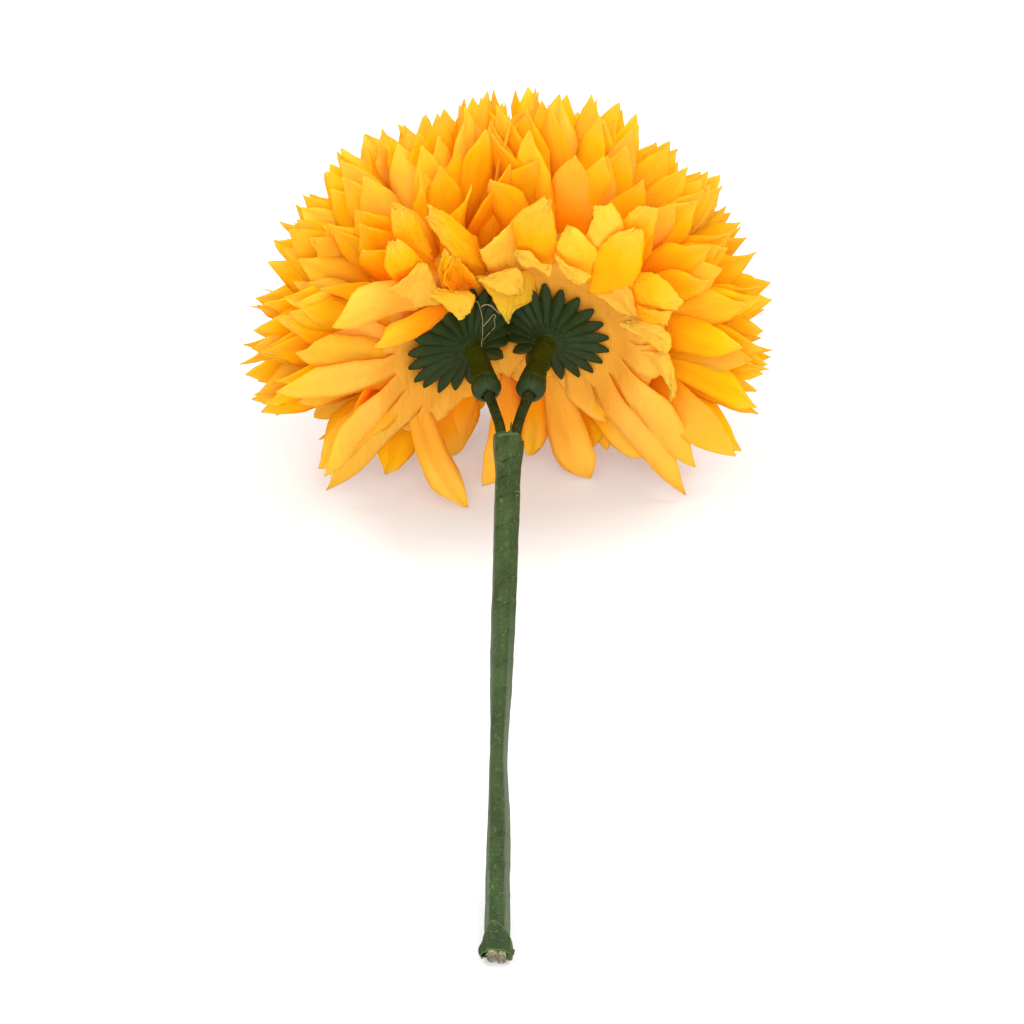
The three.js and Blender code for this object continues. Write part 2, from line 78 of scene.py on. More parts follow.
MIDDLE_Y = 144.1                  # from the cut end to the middle of the whole length
STEM_TILT = math.radians(12)      # how steeply the stem rises towards the heads
STEM_LENGTH = 186.5               # from the cut end to the fork
END_HEIGHT = 1.75                 # the stem's axis over the surface, at the cut end
END_SIDEWAYS = -2.9               # the cut end from the middle plane
SIDEWAYS_EASE = 1.3               # how the stem's axis runs back to that plane
STEM_TWIST = math.radians(168)    # of the flattened section, from the fork to the cut end
TWIST_EASE = 1.1                  # how the twist is spread along the stem
ROD_SPREAD = 1.2                  # rod axis to stem axis inside the wrap
FORK_SPREAD = 1.9                 # the same at the fork
FLARE_START = 170.5               # where the rods begin to part
WRAP_OUTER = 2.25                 # rod axis to the outside of the wrap
BULB_FOOT_ALONG = 204.6
BULB_FOOT_SIDEWAYS = 5.7
NECK_ALONG = 218.9
NECK_SIDEWAYS = 8.4
BRANCH_SUNK = 2.4                 # how far the branch goes into the bulb

LOBES = 20                        # of a calyx
NECK_RADIUS = 2.35
NECK_TO_HUB = 8.4                 # from the sleeve's end to the middle of the back disc

BALL_AHEAD = 14.0                 # from the back disc to the middle of the ball of petals
SEAM_WAVE = 2.4                   # the heads meet at a surface with waves of this height
SEAM_PERIOD = 8.5
SEAM_FROM = 222.0 - MIDDLE_Y      # the waves grow between these distances
SEAM_TO = 238.0 - MIDDLE_Y
SEAM_LIMIT = -10.0                # petals that reach further into the other head are left out

STEM_DIRECTION = Vector((0, math.cos(STEM_TILT), math.sin(STEM_TILT)))
STEM_UP = Vector((0, -math.sin(STEM_TILT), math.cos(STEM_TILT)))
AXIS_X = Vector((1, 0, 0))


def lerp(low, high, share):
    return low + (high - low) * share


def share_of(value, low, high):
    """Where a value lies between two others: from 0 to 1."""
    return min(max((value - low) / (high - low), 0.0), 1.0)


def smooth(value, low, high):
    share = share_of(value, low, high)
    return share * share * (3 - 2 * share)


def bell(value, middle, width):
    """One at the middle, falling off smoothly to nothing on both sides."""
    return math.exp(-((value - middle) / width) ** 2)


def soft_limit(value, softness):
    """A smooth lower limit at zero: far above it the value is unchanged."""
    if value > 20 * softness:
        return value
    return softness * math.log1p(math.exp(value / softness))


def ring_noise(angle, size, seed):
    """Smooth noise from -1 to 1 round a ring: the larger the size, the finer it is."""
    return noise.noise(Vector((math.cos(angle) * size, math.sin(angle) * size, seed)))


def place(across, along, above=0.0):
    """A point given across the stem, along it and above its plane."""
    on_axis = AXIS_X * across + STEM_DIRECTION * along + STEM_UP * above
    return on_axis + Vector((0, -MIDDLE_Y, END_HEIGHT))


# ---------------------------------------------------------------- stem path

def stem_turn(along):
    return STEM_TWIST * max(1 - along / STEM_LENGTH, 0.0) ** TWIST_EASE


def stem_section(along):
    """Centre of the flattened stem and the wide and thin directions of its section."""
    rest = max(1 - along / STEM_LENGTH, 0.0)
    turn = stem_turn(along)
    wide = AXIS_X * math.cos(turn) + STEM_UP * math.sin(turn)
    thin = -AXIS_X * math.sin(turn) + STEM_UP * math.cos(turn)
    return place(END_SIDEWAYS * rest ** SIDEWAYS_EASE, along), wide, thin


def rod_spread(along):
    return lerp(ROD_SPREAD, FORK_SPREAD, smooth(along, FLARE_START, STEM_LENGTH))


def rod_in_wrap(side, along):
    centre, wide, _ = stem_section(along)
    return centre + wide * side * rod_spread(along)


def bulb_foot(side):
    return place(side * BULB_FOOT_SIDEWAYS, BULB_FOOT_ALONG)


def neck(side):
    return place(side * NECK_SIDEWAYS, NECK_ALONG)


def socket_direction(side):
    return (neck(side) - bulb_foot(side)).normalized()


def bezier(points, share):
    """A point on the Bezier curve of any degree through these control points."""
    row = list(points)
    while len(row) > 1:
        row = [a.lerp(b, share) for a, b in zip(row, row[1:])]
    return row[0]


def route_point(points, share):
    """A point on the smooth route that passes through all these points."""
    last = len(points) - 1
    reached = min(max(share, 0.0) * last, last - 1e-6)
    i = int(reached)
    t = reached - i
    before, start, end, after = (points[min(max(k, 0), last)] for k in range(i - 1, i + 3))
    curved = (before * 2 - start * 5 + end * 4 - after) * t + (
        start * 3 - before - end * 3 + after) * t * t
    return (start * 2 + (end - before + curved) * t) * 0.5


def branch_points(side):
    """Control points of the branch from the fork into the bulb."""
    start = rod_in_wrap(side, STEM_LENGTH)
    direction = (start - rod_in_wrap(side, STEM_LENGTH - 3)).normalized()
    end = bulb_foot(side) + socket_direction(side) * BRANCH_SUNK
    reach = (end - start).length / 3
    return start, start + direction * reach, end - socket_direction(side) * reach, end


# ---------------------------------------------------------------- heads

class Head:
    """One flower head: its axis, the middle of its back disc and of its ball of petals."""

    def __init__(self, name, side, splay, radius, seed):
        self.name, self.side, self.radius, self.seed = name, side, radius, seed
        splay = math.radians(splay)
        self.ahead = AXIS_X * side * math.sin(splay) + STEM_DIRECTION * math.cos(splay)
        self.up = STEM_UP.copy()
        self.right = self.ahead.cross(self.up).normalized()
        self.hub = neck(side) + self.ahead * NECK_TO_HUB
        self.ball = self.hub + self.ahead * BALL_AHEAD

    def outward(self, azimuth):
        return self.right * math.cos(azimuth) + self.up * math.sin(azimuth)

    def at(self, radius, azimuth, height):
        return self.hub + self.outward(azimuth) * radius + self.ahead * height

    def spots(self, row):
        """A row of places given as azimuth in degrees, radius and height."""
        return [self.at(radius, math.radians(azimuth), height) for azimuth, radius, height in row]

    def keep_to_side(self, point, softness, across=0.0):
        """Moves a point back to this head's side of the wavy surface between the heads."""
        wave = SEAM_WAVE * math.sin(point.z / SEAM_PERIOD) * smooth(point.y, SEAM_FROM, SEAM_TO)
        room = self.side * (point.x - wave) + across
        point.x += self.side * (soft_limit(room, softness) - room)
        return point


HEADS = (
    Head("left", side=-1, splay=30, radius=51.0, seed=11),
    Head("right", side=1, splay=20, radius=54.0, seed=29),
)


# ---------------------------------------------------------------- mesh helpers

def mapped_grid(bm, columns, rows, point, size=None, tone=None, flat=None):
    """A flat grid whose corners are moved to point(u, v), with u and v from 0 to 1.

    size(u, v) gives its map in centimetres, flat(u, v) its map from 0 to 1, and tone its marks.
    """
    for kind, name in ((bm.loops.layers.uv, "flat"), (bm.loops.layers.uv, "size"),
                       (bm.verts.layers.float_color, "tone")):
        if name not in kind:
            kind.new(name)
    flat_layer = bm.loops.layers.uv["flat"]
    size_layer = bm.loops.layers.uv["size"]
    tone_layer = bm.verts.layers.float_color["tone"]
    made = bmesh.ops.create_grid(bm, x_segments=columns, y_segments=rows, size=0.5)["verts"]
    places = {vert: (vert.co.x + 0.5, vert.co.y + 0.5) for vert in made}
    faces = {face for vert in made for face in vert.link_faces}
    for face in faces:
        face.smooth = True
        for loop in face.loops:
            u, v = places[loop.vert]
            loop[flat_layer].uv = flat(u, v) if flat else (u, v)
            loop[size_layer].uv = size(u, v) if size else (u, v)
    for vert, (u, v) in places.items():
        vert.co = point(u, v) * MM
        if tone:
            vert[tone_layer] = tone(u, v) if callable(tone) else tone
    return made


def finish_mesh(name, bm, material, merge=0.0, wall=0.0, offset=-1.0):
    """Makes the object of a finished bmesh, gives it a wall and lets it ride on the frame."""
    if merge:
        bmesh.ops.remove_doubles(bm, verts=bm.verts, dist=merge * MM)
    mesh = bpy.data.meshes.new(name)
    bm.to_mesh(mesh)
    bm.free()
    piece = bpy.data.objects.new(name, mesh)
    bpy.context.scene.collection.objects.link(piece)
    mesh.materials.append(material)
    if wall:
        solidify = piece.modifiers.new("wall", "SOLIDIFY")
        solidify.thickness = wall * MM
        solidify.offset = offset
        solidify.use_even_offset = False
    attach(piece, "root")
    return piece


def grid_piece(name, columns, rows, point, material, size=None, tone=None, turned=False,
               merge=0.0, wall=0.0):
    """A piece made of one mapped grid; turned has its faces point the other way."""
    bm = bmesh.new()
    mapped_grid(bm, columns, rows, point, size, tone)
    if turned:
        bmesh.ops.reverse_faces(bm, faces=bm.faces)
    return finish_mesh(name, bm, material, merge, wall)


def path_frames(points):
    """Each point of a row with two directions square to the row there, without twist."""
    frames = []
    side = None
    for i, point in enumerate(points):
        ahead = (points[min(i + 1, len(points) - 1)] - points[max(i - 1, 0)]).normalized()
        if side is None:
            side = ahead.cross(STEM_UP)
            if side.length < 0.1:
                side = ahead.cross(AXIS_X)
        side = (side - ahead * side.dot(ahead)).normalized()
        frames.append((point, side, side.cross(ahead)))
    return frames


def ring_spot(frame, angle, radius, lift=1.0):
    """A place on the ring round one frame of a path; lift stretches the ring upwards."""
    centre, wide, thin = frame
    return centre + (wide * math.cos(angle) + thin * math.sin(angle) * lift) * radius


def tube(bm, points, radius, columns):
    """A closed thin tube along a row of points, narrower at both ends."""
    frames = path_frames(points)
    rows = len(points) - 1

    def point(u, v):
        taper = radius * (0.35 if v in (0.0, 1.0) else 1.0)
        return ring_spot(frames[round(v * rows)], TAU * u, taper)

    made = mapped_grid(bm, columns, rows, point)
    bmesh.ops.remove_doubles(bm, verts=made, dist=0.02 * MM)
    open_edges = [edge for edge in bm.edges if edge.is_boundary]
    bmesh.ops.holes_fill(bm, edges=open_edges, sides=columns + 2)


# ---------------------------------------------------------------- material helpers

def feed(tree, socket, value):
    """Links a socket or sets a value; a colour of three parts is opaque."""
    if isinstance(value, bpy.types.NodeSocket):
        tree.links.new(value, socket)
    elif socket.type == "RGBA" and len(value) == 3:
        socket.default_value = (*value, 1)
    else:
        socket.default_value = value


def add(tree, kind, inputs=None, **settings):
    """A node with its settings and what feeds its inputs."""
    made = tree.nodes.new("ShaderNode" + kind)
    for key, value in settings.items():
        setattr(made, key, value)
    for key, value in (inputs or {}).items():
        feed(tree, made.inputs[key], value)
    return made


def maths(tree, operation, first, second=0.0, clamp=False):
    made = add(tree, "Math", {0: first, 1: second}, operation=operation, use_clamp=clamp)
    return made.outputs[0]


def plus(tree, first, second, clamp=False):
    return maths(tree, "ADD", first, second, clamp)


def minus(tree, first, second):
    return maths(tree, "SUBTRACT", first, second)


def times(tree, first, second):
    return maths(tree, "MULTIPLY", first, second)


def mix_colour(tree, share, first, second, blend="MIX"):
    made = add(tree, "Mix", data_type="RGBA", blend_type=blend)
    sockets = {socket.identifier: socket for socket in made.inputs}
    for key, value in (("Factor_Float", share), ("A_Color", first), ("B_Color", second)):
        feed(tree, sockets[key], value)
    return next(socket for socket in made.outputs if socket.identifier == "Result_Color")


def step_mask(tree, value, low, high):
    """Nought below the low value and one above the high one, with a soft step between."""
    made = add(tree, "MapRange", {"Value": value, "From Min": low, "From Max": high},
               interpolation_type="SMOOTHSTEP")
    return made.outputs["Result"]


def ramp(tree, value, stops):
    made = add(tree, "ValToRGB", {"Fac": value})
    elements = made.color_ramp.elements
    while len(elements) < len(stops):
        elements.new(0.5)
    for element, (position, colour) in zip(elements, stops):
        element.position = position
        element.color = (*colour, 1)
    return made.outputs["Color"]


def piece_map(tree, name):
    return add(tree, "UVMap", uv_map=name).outputs["UV"]


def object_place(tree):
    return add(tree, "TexCoord").outputs["Object"]


def marks_of(tree):
    """The marks that a piece's corners carry: Red, Green, Blue and Alpha."""
    tone = add(tree, "Attribute", attribute_name="tone", attribute_type="GEOMETRY")
    parts = add(tree, "SeparateColor", {"Color": tone.outputs["Color"]}).outputs
    return {"Alpha": tone.outputs["Alpha"], **{key: parts[key] for key in ("Red", "Green", "Blue")}}


def effect_group(name, inputs, outputs):
    """An empty node group with its sockets: (name, kind) or (name, kind, default)."""
    group = bpy.data.node_groups.new(name, "ShaderNodeTree")
    for label, kind, *default in inputs:
        socket = group.interface.new_socket(label, in_out="INPUT", socket_type="NodeSocket" + kind)
        if default:
            socket.default_value = default[0]
    for label, kind in outputs:
        group.interface.new_socket(label, in_out="OUTPUT", socket_type="NodeSocket" + kind)
    start = group.nodes.new("NodeGroupInput")
    end = group.nodes.new("NodeGroupOutput")
    return group, start.outputs, end.inputs


def place_group(tree, name, inputs):
    made = tree.nodes.new("ShaderNodeGroup")
    made.node_tree = bpy.data.node_groups[name]
    for key, value in inputs.items():
        feed(tree, made.inputs[key], value)
    return made.outputs


def weave_group():
    """Fine crossed threads: a height and a shade, both around one half."""
    group, given, result = effect_group(
        "crossed_threads",
        [("Vector", "Vector"), ("Threads", "Float", 10.0), ("Unevenness", "Float", 0.3)],
        [("Height", "Float"), ("Shade", "Float")])
    heights = []
    for quarter in (1, -1):
        turned = add(group, "Mapping", {"Vector": given["Vector"],
                                        "Rotation": (0, 0, quarter * math.pi / 4)})
        threads = add(group, "TexWave", {"Vector": turned.outputs[0], "Scale": given["Threads"],
                                         "Distortion": given["Unevenness"], "Detail": 1.0,
                                         "Detail Scale": 2.0})
        heights.append(threads.outputs["Fac"])
    both = times(group, plus(group, *heights), 0.5)
    feed(group, result["Height"], both)
    feed(group, result["Shade"], step_mask(group, both, 0.1, 0.9))


def mottle_group():
    """Soft uneven dye in two sizes: a mask around one half."""
    group, given, result = effect_group(
        "uneven_dye",
        [("Vector", "Vector"), ("Scale", "Float", 100.0), ("Stretch", "Vector", (1, 1, 1))],
        [("Mask", "Float"), ("Fine", "Float")])
    stretched = add(group, "Mapping", {"Vector": given["Vector"], "Scale": given["Stretch"]})
    wide = add(group, "TexNoise", {"Vector": stretched.outputs[0], "Scale": given["Scale"],
                                   "Detail": 3.0, "Roughness": 0.55})
    fine = add(group, "TexNoise", {"Vector": stretched.outputs[0],
                                   "Scale": times(group, given["Scale"], 5.0),
                                   "Detail": 2.0, "Roughness": 0.6})
    feed(group, result["Mask"], step_mask(group, wide.outputs["Fac"], 0.3, 0.7))
    feed(group, result["Fine"], fine.outputs["Fac"])


def edge_group():
    """How near a strip's long edges and its tip a point is, from its flat map."""
    group, given, result = effect_group(
        "strip_edge",
        [("Flat", "Vector"), ("Start", "Float", 0.86), ("End", "Float", 0.97)],
        [("Edge", "Float"), ("Tip", "Float")])
    parts = add(group, "SeparateXYZ", {"Vector": given["Flat"]})
    across = maths(group, "ABSOLUTE", minus(group, parts.outputs["X"], 0.5))
    made = add(group, "MapRange", {"Value": times(group, across, 2.0),
                                   "From Min": given["Start"], "From Max": given["End"]})
    feed(group, result["Edge"], made.outputs["Result"])
    feed(group, result["Tip"], parts.outputs["Y"])


def new_material(name):
    material = bpy.data.materials.new(name)
    material.use_nodes = True
    tree = material.node_tree
    tree.nodes.clear()
    return material, tree


def close_material(tree, shader):
    add(tree, "OutputMaterial", {"Surface": shader.outputs[0]})


def bump(tree, height, strength, distance):
    made = add(tree, "Bump", {"Height": height, "Strength": strength, "Distance": distance * MM})
    return made.outputs["Normal"]


# ---------------------------------------------------------------- materials

def petal_fabric(settings):
    """Dyed petal cloth: orange roots with painted shade, yellow body, pale tips, peach on the back
    discs.

    Red and green vary a petal's brightness and hue, blue marks its pale outer side, and alpha
    says how far the colour falls off towards the root.
    """
    material, tree = new_material("petal_cloth")
    size = piece_map(tree, "size")
    marks = marks_of(tree)
    edges = place_group(tree, "strip_edge", {"Flat": piece_map(tree, "flat"),
                                             "Start": 0.90, "End": 0.99})
    dye = place_group(tree, "uneven_dye", {"Vector": size, "Scale": 1.2, "Stretch": (1, 0.35, 1)})
    from_tip = times(tree, minus(tree, 1.0, edges["Tip"]), marks["Alpha"])
    along = minus(tree, plus(tree, 0.95, times(tree, dye["Mask"], 0.10)), from_tip)
    # The root end of the ramp is partly painted shade: it stands in for the dark depths of the
    # ball.
    body = ramp(tree, along, ((0.22, settings.root_dye_and_shade), (0.50, settings.middle_colour),
                              (0.78, settings.body_colour), (1.0, settings.tip_colour)))
    peach = ramp(tree, along, ((0.42, settings.disc_colour), (0.60, settings.lance_colour),
                               (1.0, settings.tip_colour)))
    outer = times(tree, marks["Blue"], step_mask(tree, along, 0.4, 0.65))
    disc = step_mask(tree, marks["Blue"], 0.7, 1.0)
    dyed = mix_colour(tree, maths(tree, "MAXIMUM", outer, disc), body, peach)
    varied = add(tree, "HueSaturation", {
        "Hue": plus(tree, times(tree, marks["Green"], 0.016), 0.492),
        "Value": plus(tree, times(tree, marks["Red"], 0.16), 0.90), "Color": dyed})
    weave = place_group(tree, "crossed_threads", {"Vector": size, "Threads": 4.6})
    woven = mix_colour(tree, times(tree, weave["Shade"], 0.34), varied.outputs["Color"],
                       settings.thread_colour)
    rimmed = mix_colour(tree, times(tree, edges["Edge"], 0.6), woven, settings.rim_colour)
    streaks = add(tree, "Mapping", {"Vector": size, "Scale": (2.2, 0.8, 1)})
    creases = add(tree, "TexNoise", {"Vector": streaks.outputs[0], "Scale": 1.5, "Detail": 4.0,
                                     "Distortion": 0.6})
    height = plus(tree, times(tree, weave["Height"], 0.06), creases.outputs["Fac"])
    normal = bump(tree, height, strength=0.75, distance=0.75)
    # Painted glow: the cloth emits its tinted colour to diffuse rays only, so the nearby floor
    # takes orange light.
    glow = mix_colour(tree, 1.0, rimmed, settings.glow_colour, "MULTIPLY")
    bounced = add(tree, "LightPath").outputs["Is Diffuse Ray"]
    cloth = add(tree, "BsdfPrincipled", {
        "Base Color": rimmed, "Roughness": 0.8, "Normal": normal,
        "Specular IOR Level": 0.08, "Emission Strength": settings.painted_glow,
        "Emission Color": mix_colour(tree, bounced, (0, 0, 0), glow)})
    through = add(tree, "BsdfTranslucent", {"Color": glow, "Normal": normal})
    close_material(tree, add(tree, "MixShader", {
        0: settings.see_through, 1: cloth.outputs[0], 2: through.outputs[0]}))
    return material


def moulded_plastic(name, colour, groove, roughness):
    """Matte moulded green with lighter ribs, marked red, painted shade in the grooves and specks of
    gloss.
    """
    material, tree = new_material(name)
    dye = place_group(tree, "uneven_dye", {"Vector": object_place(tree), "Scale": 260.0})
    # Painted shade: where red is low, in the grooves between lobes, the colour turns dark.
    groove_shaded = mix_colour(tree, marks_of(tree)["Red"], groove, colour)
    worn = mix_colour(tree, times(tree, dye["Mask"], 0.35), groove_shaded, groove)
    specks = step_mask(tree, dye["Fine"], 0.62, 0.72)
    shell = add(tree, "BsdfPrincipled", {
        "Base Color": worn, "Roughness": minus(tree, roughness, times(tree, specks, 0.25)),
        "Normal": bump(tree, dye["Fine"], strength=0.25, distance=0.25),
        "Specular IOR Level": 0.14})
    close_material(tree, shell)
    return material


def crepe_tape(name, colour, dark, edge, fold, fibre_scale):
    """Waxed crepe tape: mottled, with curly wrinkles and a pale overlap edge.

    Red marks the pressed folds, green darker places, partly painted shade in creases, and blue the
    cut edges.
    """
    material, tree = new_material(name)
    where = object_place(tree)
    marks = marks_of(tree)
    dye = place_group(tree, "uneven_dye", {"Vector": where, "Scale": 160.0,
                                           "Stretch": (1.4, 0.5, 1)})
    fibres = place_group(tree, "uneven_dye", {"Vector": piece_map(tree, "size"),
                                              "Scale": fibre_scale, "Stretch": (1.6, 0.5, 1)})
    cells = add(tree, "TexVoronoi", {"Vector": where, "Scale": 360.0, "Randomness": 1.0},
                feature="DISTANCE_TO_EDGE")
    curls = minus(tree, 1.0, step_mask(tree, cells.outputs["Distance"], 0.0, 0.06))
    curly = times(tree, curls, step_mask(tree, dye["Fine"], 0.51, 0.60))
    # Green pulls the tape towards its dark colour: partly painted shade.
    lit = times(tree, dye["Mask"], minus(tree, 1.0, times(tree, marks["Green"], 0.7)))
    folded = mix_colour(tree, marks["Red"], mix_colour(tree, lit, dark, colour), fold)
    pale = plus(tree, times(tree, step_mask(tree, fibres["Fine"], 0.55, 0.7), 0.2),
                times(tree, curly, 0.5), clamp=True)
    flecked = mix_colour(tree, pale, folded, edge)
    across = add(tree, "SeparateXYZ", {"Vector": piece_map(tree, "flat")}).outputs["X"]
    wavy = plus(tree, across, times(tree, minus(tree, dye["Fine"], 0.5), 0.16))
    rim = times(tree, step_mask(tree, wavy, 0.95, 0.99), step_mask(tree, fibres["Mask"], 0.35, 0.8))
    cut = maths(tree, "MAXIMUM", times(tree, rim, 0.35), marks["Blue"])
    height = plus(tree, times(tree, curly, 0.5), times(tree, fibres["Mask"], 0.5))
    tape = add(tree, "BsdfPrincipled", {
        "Base Color": mix_colour(tree, cut, flecked, edge), "Roughness": 0.6,
        "Normal": bump(tree, height, strength=0.6, distance=0.4), "Specular IOR Level": 0.14})
    close_material(tree, tape)
    return material


def cut_rod_material(settings):
    """Creamy coated rod with a rough grey core, marked red, on its cut end."""
    material, tree = new_material("cut_rod")
    core = marks_of(tree)["Red"]
    dye = place_group(tree, "uneven_dye", {"Vector": object_place(tree), "Scale": 900.0})
    cut = mix_colour(tree, core, settings.coat_colour, settings.core_colour)
    worn = mix_colour(tree, times(tree, dye["Mask"], 0.5), cut, settings.grime_colour)
    # Painted highlights: bright specks on the cut face stand in for glints.
    glint = times(tree, core, step_mask(tree, dye["Fine"], 0.60, 0.68))
    rod = add(tree, "BsdfPrincipled", {
        "Base Color": mix_colour(tree, glint, worn, settings.glint_colour), "Roughness": 0.6,
        "Normal": bump(tree, dye["Fine"], strength=0.6, distance=0.25)})
    close_material(tree, rod)
    return material


def glue_material(settings):
    """Brownish glue with an uneven shade."""
    material, tree = new_material("glue_string")
    dye = place_group(tree, "uneven_dye", {"Vector": object_place(tree), "Scale": 300.0})
    dark = tuple(part * 0.5 for part in settings.glue_colour)
    glue = add(tree, "BsdfPrincipled", {
        "Base Color": mix_colour(tree, dye["Mask"], dark, settings.glue_colour),
        "Roughness": 0.45})
    close_material(tree, glue)
    return material


def floor_material(settings):
    """Plain pale paper that is partly its own light, so that it stays even."""
    material, tree = new_material("plain_floor")
    paper = add(tree, "BsdfPrincipled", {
        "Base Color": settings.floor_colour, "Roughness": 0.9, "Specular IOR Level": 0.0,
        "Emission Color": (1, 1, 1), "Emission Strength": settings.floor_light})
    close_material(tree, paper)
    return material


# ---------------------------------------------------------------- petals

DISCS = 28                        # petal discs stacked from the back of a head to its front
PETALS_ON_DISC = 16
BACK_DISCS = 2                    # flat discs whose cloth shows between calyx and petals
FRONT_FROM = DISCS // 2 - 1       # the disc that begins a head's front piece
DISC_TURN = 0.382                 # a disc's turn over the one behind, as a share of its pitch
DISC_DIP = {"left": 1.4, "right": 3.6}          # how far their middles are pressed forward
STACK_DEPTH = 20.0                # the foremost disc ahead of the backmost one
DISC_RADIUS = (11.0, 3.0)         # of the cloth round the peg, on the first and the last disc
ROOT_RADIUS = (9.0, 1.0)          # of the petals' roots on them
ROOT_LIFT = 1.9                   # the roots of the first disc ahead of the flat discs
TIP_POLAR = (109.0, 0.0)          # where their petals end, in degrees from straight ahead
ROOT_POLAR = (91.0, 4.0)          # where those head for when they leave the disc
FLAT_HEIGHTS = (-0.6, 0.3)        # of the flat discs' cloth
PETAL_WIDTH = 10.2                # the petals' widths are scaled from this one
BACK_PETAL_WIDTH = 11.6
FRAY = 0.24                       # how far the outermost threads stand out of a cut edge
TORN_OFF = 0.14                   # share of the ball's petals that are missing
LOOSE = (50.0, 90.0)              # petals bend aside more between these heights

# Petals of the backmost disc from the lowest one round to the right and back: where it parts
# from its neighbours, where it ends, how far it bends forward (degrees) and swings sideways.
BACK_PETALS = {
    "left": (
        (21, 22.5, 20, 0), (21, 24, 40, 0), (23, 27, 60, 0), (23, 26, 40, 0),
        (23, 26, 20, 0), (23, 26, 20, 0), (23, 27, 40, 0), (24, 36, 75, 0),
        (24, 46, 82, 0), (24, 50, 76, 0), (25, 52, 68, 0), (22, 55, 30, 4),
        (21, 56, 5, -4), (21, 52.5, 0, 0), (22, 57.5, 1, 0), (27, 29.5, 10, 0)),
    "right": (
        (15, 16.5, 20, 0), (24, 26, 8, 0), (19, 60, 0, -3), (20, 54, 0, -15),
        (24, 34, 14, -6), (27, 36, 40, 0), (27.5, 46, 66, 0), (27.5, 48, 78, 0),
        (27, 48, 82, 0), (26, 48, 80, 0), (24, 42, 80, 0), (24, 28, 40, 0),
        (24, 26, 20, 0), (24, 26, 20, 0), (22, 28, 40, 0), (20, 25, 60, 0)),
}

# Bent petals that leave the discs: a chain of (azimuth, radius, height), the width and how
# much of the pale side shows.
FOLDED = {
    "left": (
        (((122, 24, -1), (126, 40, -6), (144, 56, -7)), 12.5, 0.95),
        (((106, 15, 0), (132, 23, -6), (158, 31, -4)), 9.0, 0.25),
        (((226, 17, 5), (243, 35, -2), (259, 46.5, -17.5)), 9.0, 0.9),
        (((-100, 18, 6), (-94, 36, 4), (-88, 50, 1)), 12.0, 0.75),
        (((-50, 27, 6), (-66, 38, -1), (-89, 49, -12)), 11.0, 0.85),
        (((-60, 12, 9), (-70, 26, 9), (-76, 38, 8)), 12.0, 0.1),
    ),
    "right": (
        (((-99, 12, 8), (-84, 34, -3), (-76, 51, -2)), 12.0, 0.95),
        (((-80, 14, 5), (-64, 31, 3), (-54, 46, 0)), 9.5, 0.75),
        (((-110, 14, 5), (-98, 36, 3), (-98, 48, 1)), 8.0, 0.5),
        (((-120, 14, 9), (-112, 28, 9), (-107, 38, 8)), 12.0, 0.1),
    ),
}

